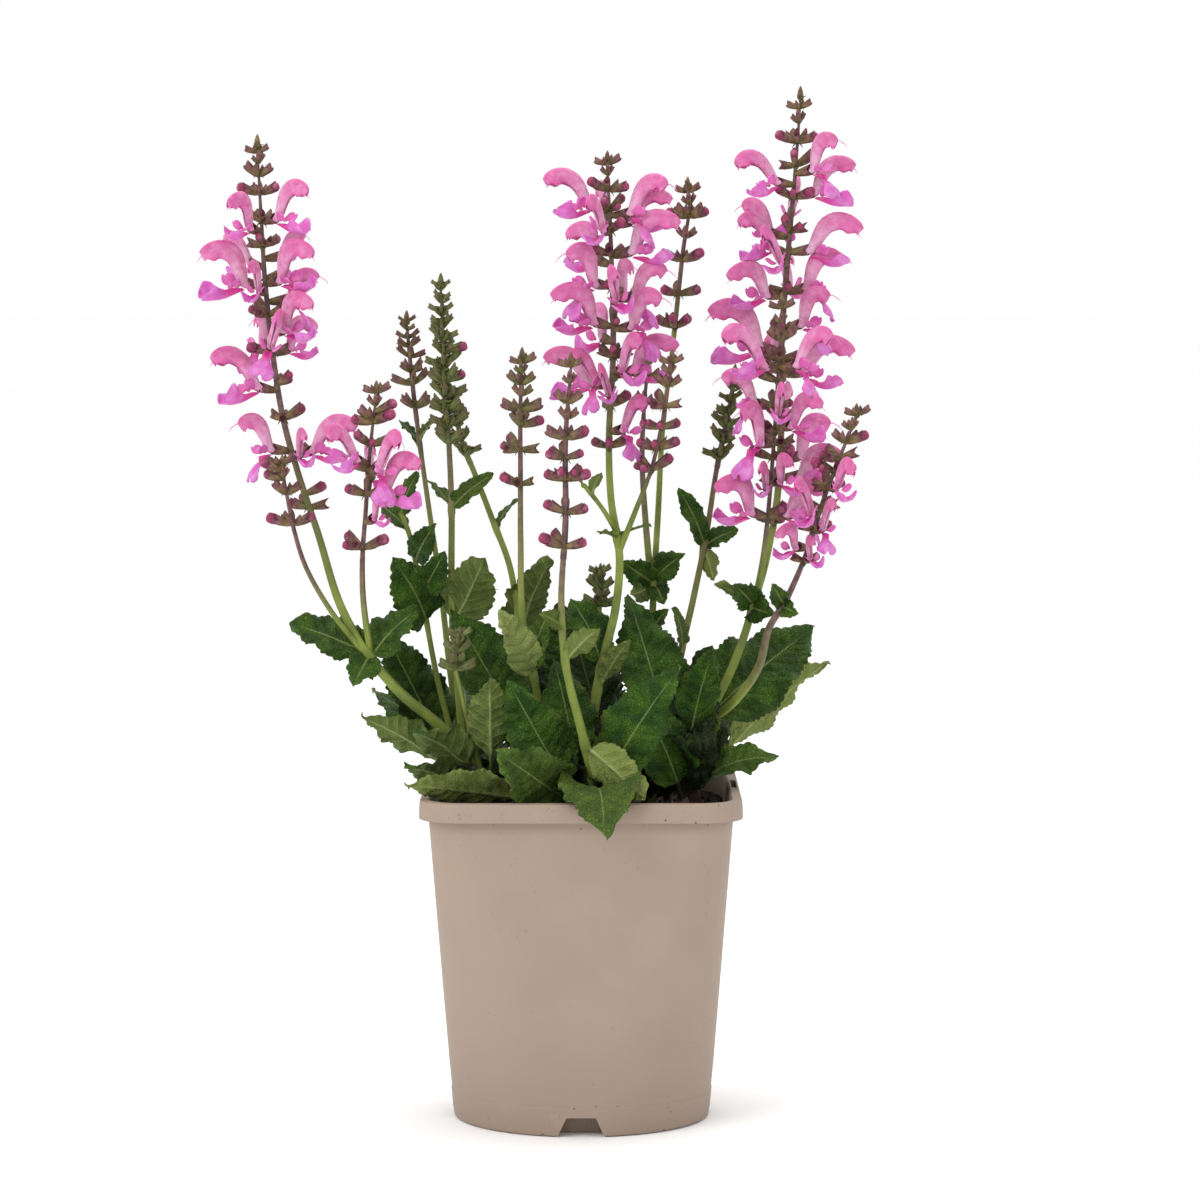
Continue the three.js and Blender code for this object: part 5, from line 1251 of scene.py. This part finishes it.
def felted_calyx(place):
    """Purple and olive felt on ribs, greener in young heads, and dark red inside."""
    along, green, shade, rib, bract, inside = place.stored(
        "along", "green", "shade", "rib", "bract", "inside")
    patch = place.cloud(350)
    fine = place.cloud(2200, 2.0)
    mottle = patch.ramp(0.3, 0.7)
    dull = (along.ramp(0.95, 0.2) * 0.8 + rib * 0.25 + (patch - 0.5)).ramp(0.05, 0.85).blend(
        mottle.blend("603C40", "7E5654"), mottle.blend("50402A", "7E6E48"))
    fresh = mottle.blend("3E4A22", "6A7640").coat(
        (rib * 0.4, "808A54"), (along.ramp(0.5, 1.0) * 0.6, "5C4A36"))
    body = (green + (shade - 0.5) * 0.3).ramp(0.15, 0.85).blend(dull, fresh).coat(
        (bract * 0.5, "5E6A34"))
    mouth = green.ramp(0.2, 0.8).blend("6E2A44", "3E4426")
    return ((inside * 0.8).blend(body, mouth), 0.6 + fine * 0.25,
            (fine * 0.4 + patch * 0.3 + rib * 0.5).relief(0.3))


def pink_petal(place):
    """A pale pink tube that deepens along the hood, violet-pink lips, and crimson buds."""
    along, lip, crimson, shade, girth = place.stored("along", "lip", "crimson", "shade", "girth")
    patch = place.cloud(260)
    veins = place.cloud(1300)
    # Painted shade: a darker line along the fold of the hood's crease.
    crease = (girth - 0.37).math("ABSOLUTE").ramp(0.05, 0.015) * along.ramp(0.2, 0.5)
    hood = along.ramp(0.08, 0.72).blend("E8B0CE", "D86CA4").coat(
        (girth.ramp(0.4, 0.05) * along.ramp(0.3, 0.8) * 0.7, "CE5090"), (crease * 0.3, "C24E8C"),
        (patch.ramp(0.42, 0.72) * 0.5, "C44482"))
    lobe = along.ramp(0.25, 0.65).blend("C63684", "C476B8").coat(
        (patch.ramp(0.42, 0.68) * 0.6, "C044A2"))
    bud = along.ramp(0.3, 0.95).blend("5C2036", "8C3054").coat(
        (patch.ramp(0.4, 0.7) * 0.35, "A84470"))
    open_petal = lip.blend(hood, lobe).coat(((shade - 0.3) * 0.4, "D9569F"))
    petal = crimson.blend(open_petal, bud).coat(
        (veins.ramp(0.52, 0.7) * 0.25, "B8488C"), (patch.ramp(0.5, 0.3) * 0.15, "F0C4DC"))
    return petal, 0.5 + patch * 0.2, (veins * 0.5 + patch * 0.5).relief(0.25)


def round_bud_shape(stations, layers):
    """A smooth bud on its own length: stations are (reach, half width, half height, rise)."""
    return tube_shape([oval_ring(*station) for station in stations], layers)


PART_SHAPES = {
    "Open calyx": calyx_shape(),
    "Young bud": young_bud_shape(1.0),
    "Slim bud": young_bud_shape(0.72),
    "Bract": bract_shape(),
    "Tip bud": round_bud_shape(
        [(-0.2, 0.6, 0.6, 0), (1.2, 1.2, 1.3, 0), (3.2, 1.4, 1.6, 0.1), (5.2, 1.0, 1.2, 0.2),
         (6.8, 0.5, 0.6, 0.2), (7.6, 0.1, 0.1, 0.1)], {"along": [0, 0.1, 0.3, 0.4, 0.6, 0.8]}),
    "Coloured bud": round_bud_shape(
        [(6.5, 1.3, 1.6, 0.4), (9.8, 2.3, 2.7, 0.8), (11.9, 2.2, 2.6, 1.0), (12.9, 1.5, 1.8, 0.9),
         (13.3, 0.4, 0.5, 0.6)], {"along": [0.1, 0.45, 0.7, 0.85, 1], "crimson": [1] * 5}),
    "Corolla": corolla_shape(0, 0, -30, 1, 19),
    "Upright corolla": corolla_shape(-0.2, -0.14, 50, -0.3, 18.5),
    "Wide corolla": corolla_shape(0.08, 0.2, -55, 0.8, 19),
}
part_pieces = {label: new_piece(label.replace(" ", "_").lower(), shape)
               for label, shape in PART_SHAPES.items()}
HEAD_TREE = head_tree(part_pieces)
HEAD_PARTS = {
    **part_pieces,
    "Stem finish": STALK["Finish"],
    "Calyx finish": make_finish("felted_calyx", felted_calyx, Specular_IOR_Level=0.3),
    "Petal finish": make_finish("pink_petal", pink_petal, Specular_IOR_Level=0.35,
                                Subsurface_Weight=0.4, Subsurface_Radius=(1.0, 0.6, 0.9),
                                Subsurface_Scale=2 * MM),
}
for number, (axis, head) in enumerate(HEADS.items()):
    head_name = "head_" + axis
    axis_piece = grow(new_piece("axis_of_head", head_axis(axis)), STALK_TREE, STALK)
    spike = new_piece(head_name + "_flowers", dress_head(axis, number))
    grow(spike, HEAD_TREE, {"Axis": axis_piece, **HEAD_PARTS})
    bpy.data.objects.remove(axis_piece)
    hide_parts(head_name)
    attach(spike, "root")
for piece in part_pieces.values():
    bpy.data.objects.remove(piece)

# ---------------------------------------------------------------------------------------------
# Studio. A plain white floor in a white room, a large soft light on the left front, another from
# above, and a long lens a little above the plant.

CAMERA = Vector((8.8, -2100, 408)) * MM
AIM = Vector((8.8, 0, 245)) * MM
LENS, SENSOR = 133.65, 36
FLOOR_HALF, FLOOR_DROP = 30000, -0.3


def paper(place):
    """Paper so white that it melts into the room."""
    return [place.cloud(3).blend("FDFDFD", "FFFFFF")]


def soft_light(name, place, aim, size, watts):
    """A square light that shines from its place at an aim."""
    lamp = bpy.data.lights.new(name, "AREA")
    lamp.size = size * MM
    lamp.energy = watts
    light = bpy.data.objects.new(name, lamp)
    light.location = Vector(place) * MM
    light.rotation_euler = (Vector(aim) - Vector(place)).to_track_quat("-Z", "Y").to_euler()
    bpy.context.scene.collection.objects.link(light)


corners = [(x * FLOOR_HALF, y * FLOOR_HALF, FLOOR_DROP)
           for x, y in ((-1, -1), (1, -1), (1, 1), (-1, 1))]
floor = new_piece("studio_floor", (corners, [[0, 1, 2, 3]], {}),
                  make_finish("floor_paper", paper, Roughness=0.9, Specular_IOR_Level=0.1))
soft_light("key_light", (-1200, -1400, 1500), (0, 0, 220), 1000, 16)
soft_light("top_light", (200, 300, 2000), (0, 0, 200), 1300, 14)
world = bpy.data.worlds.new("white_room")
world.use_nodes = True
world.node_tree.nodes["Background"].inputs["Color"].default_value = (1, 1, 1, 1)
world.node_tree.nodes["Background"].inputs["Strength"].default_value = 1.0
bpy.context.scene.world = world
bpy.context.scene.view_settings.view_transform = "Standard"

lens = bpy.data.cameras.new("long_lens")
lens.lens = LENS
lens.sensor_width = SENSOR
lens.clip_end = 100
camera = bpy.data.objects.new("camera", lens)
camera.location = CAMERA
camera.rotation_euler = (AIM - CAMERA).to_track_quat("-Z", "Y").to_euler()
bpy.context.scene.collection.objects.link(camera)
bpy.context.scene.camera = camera
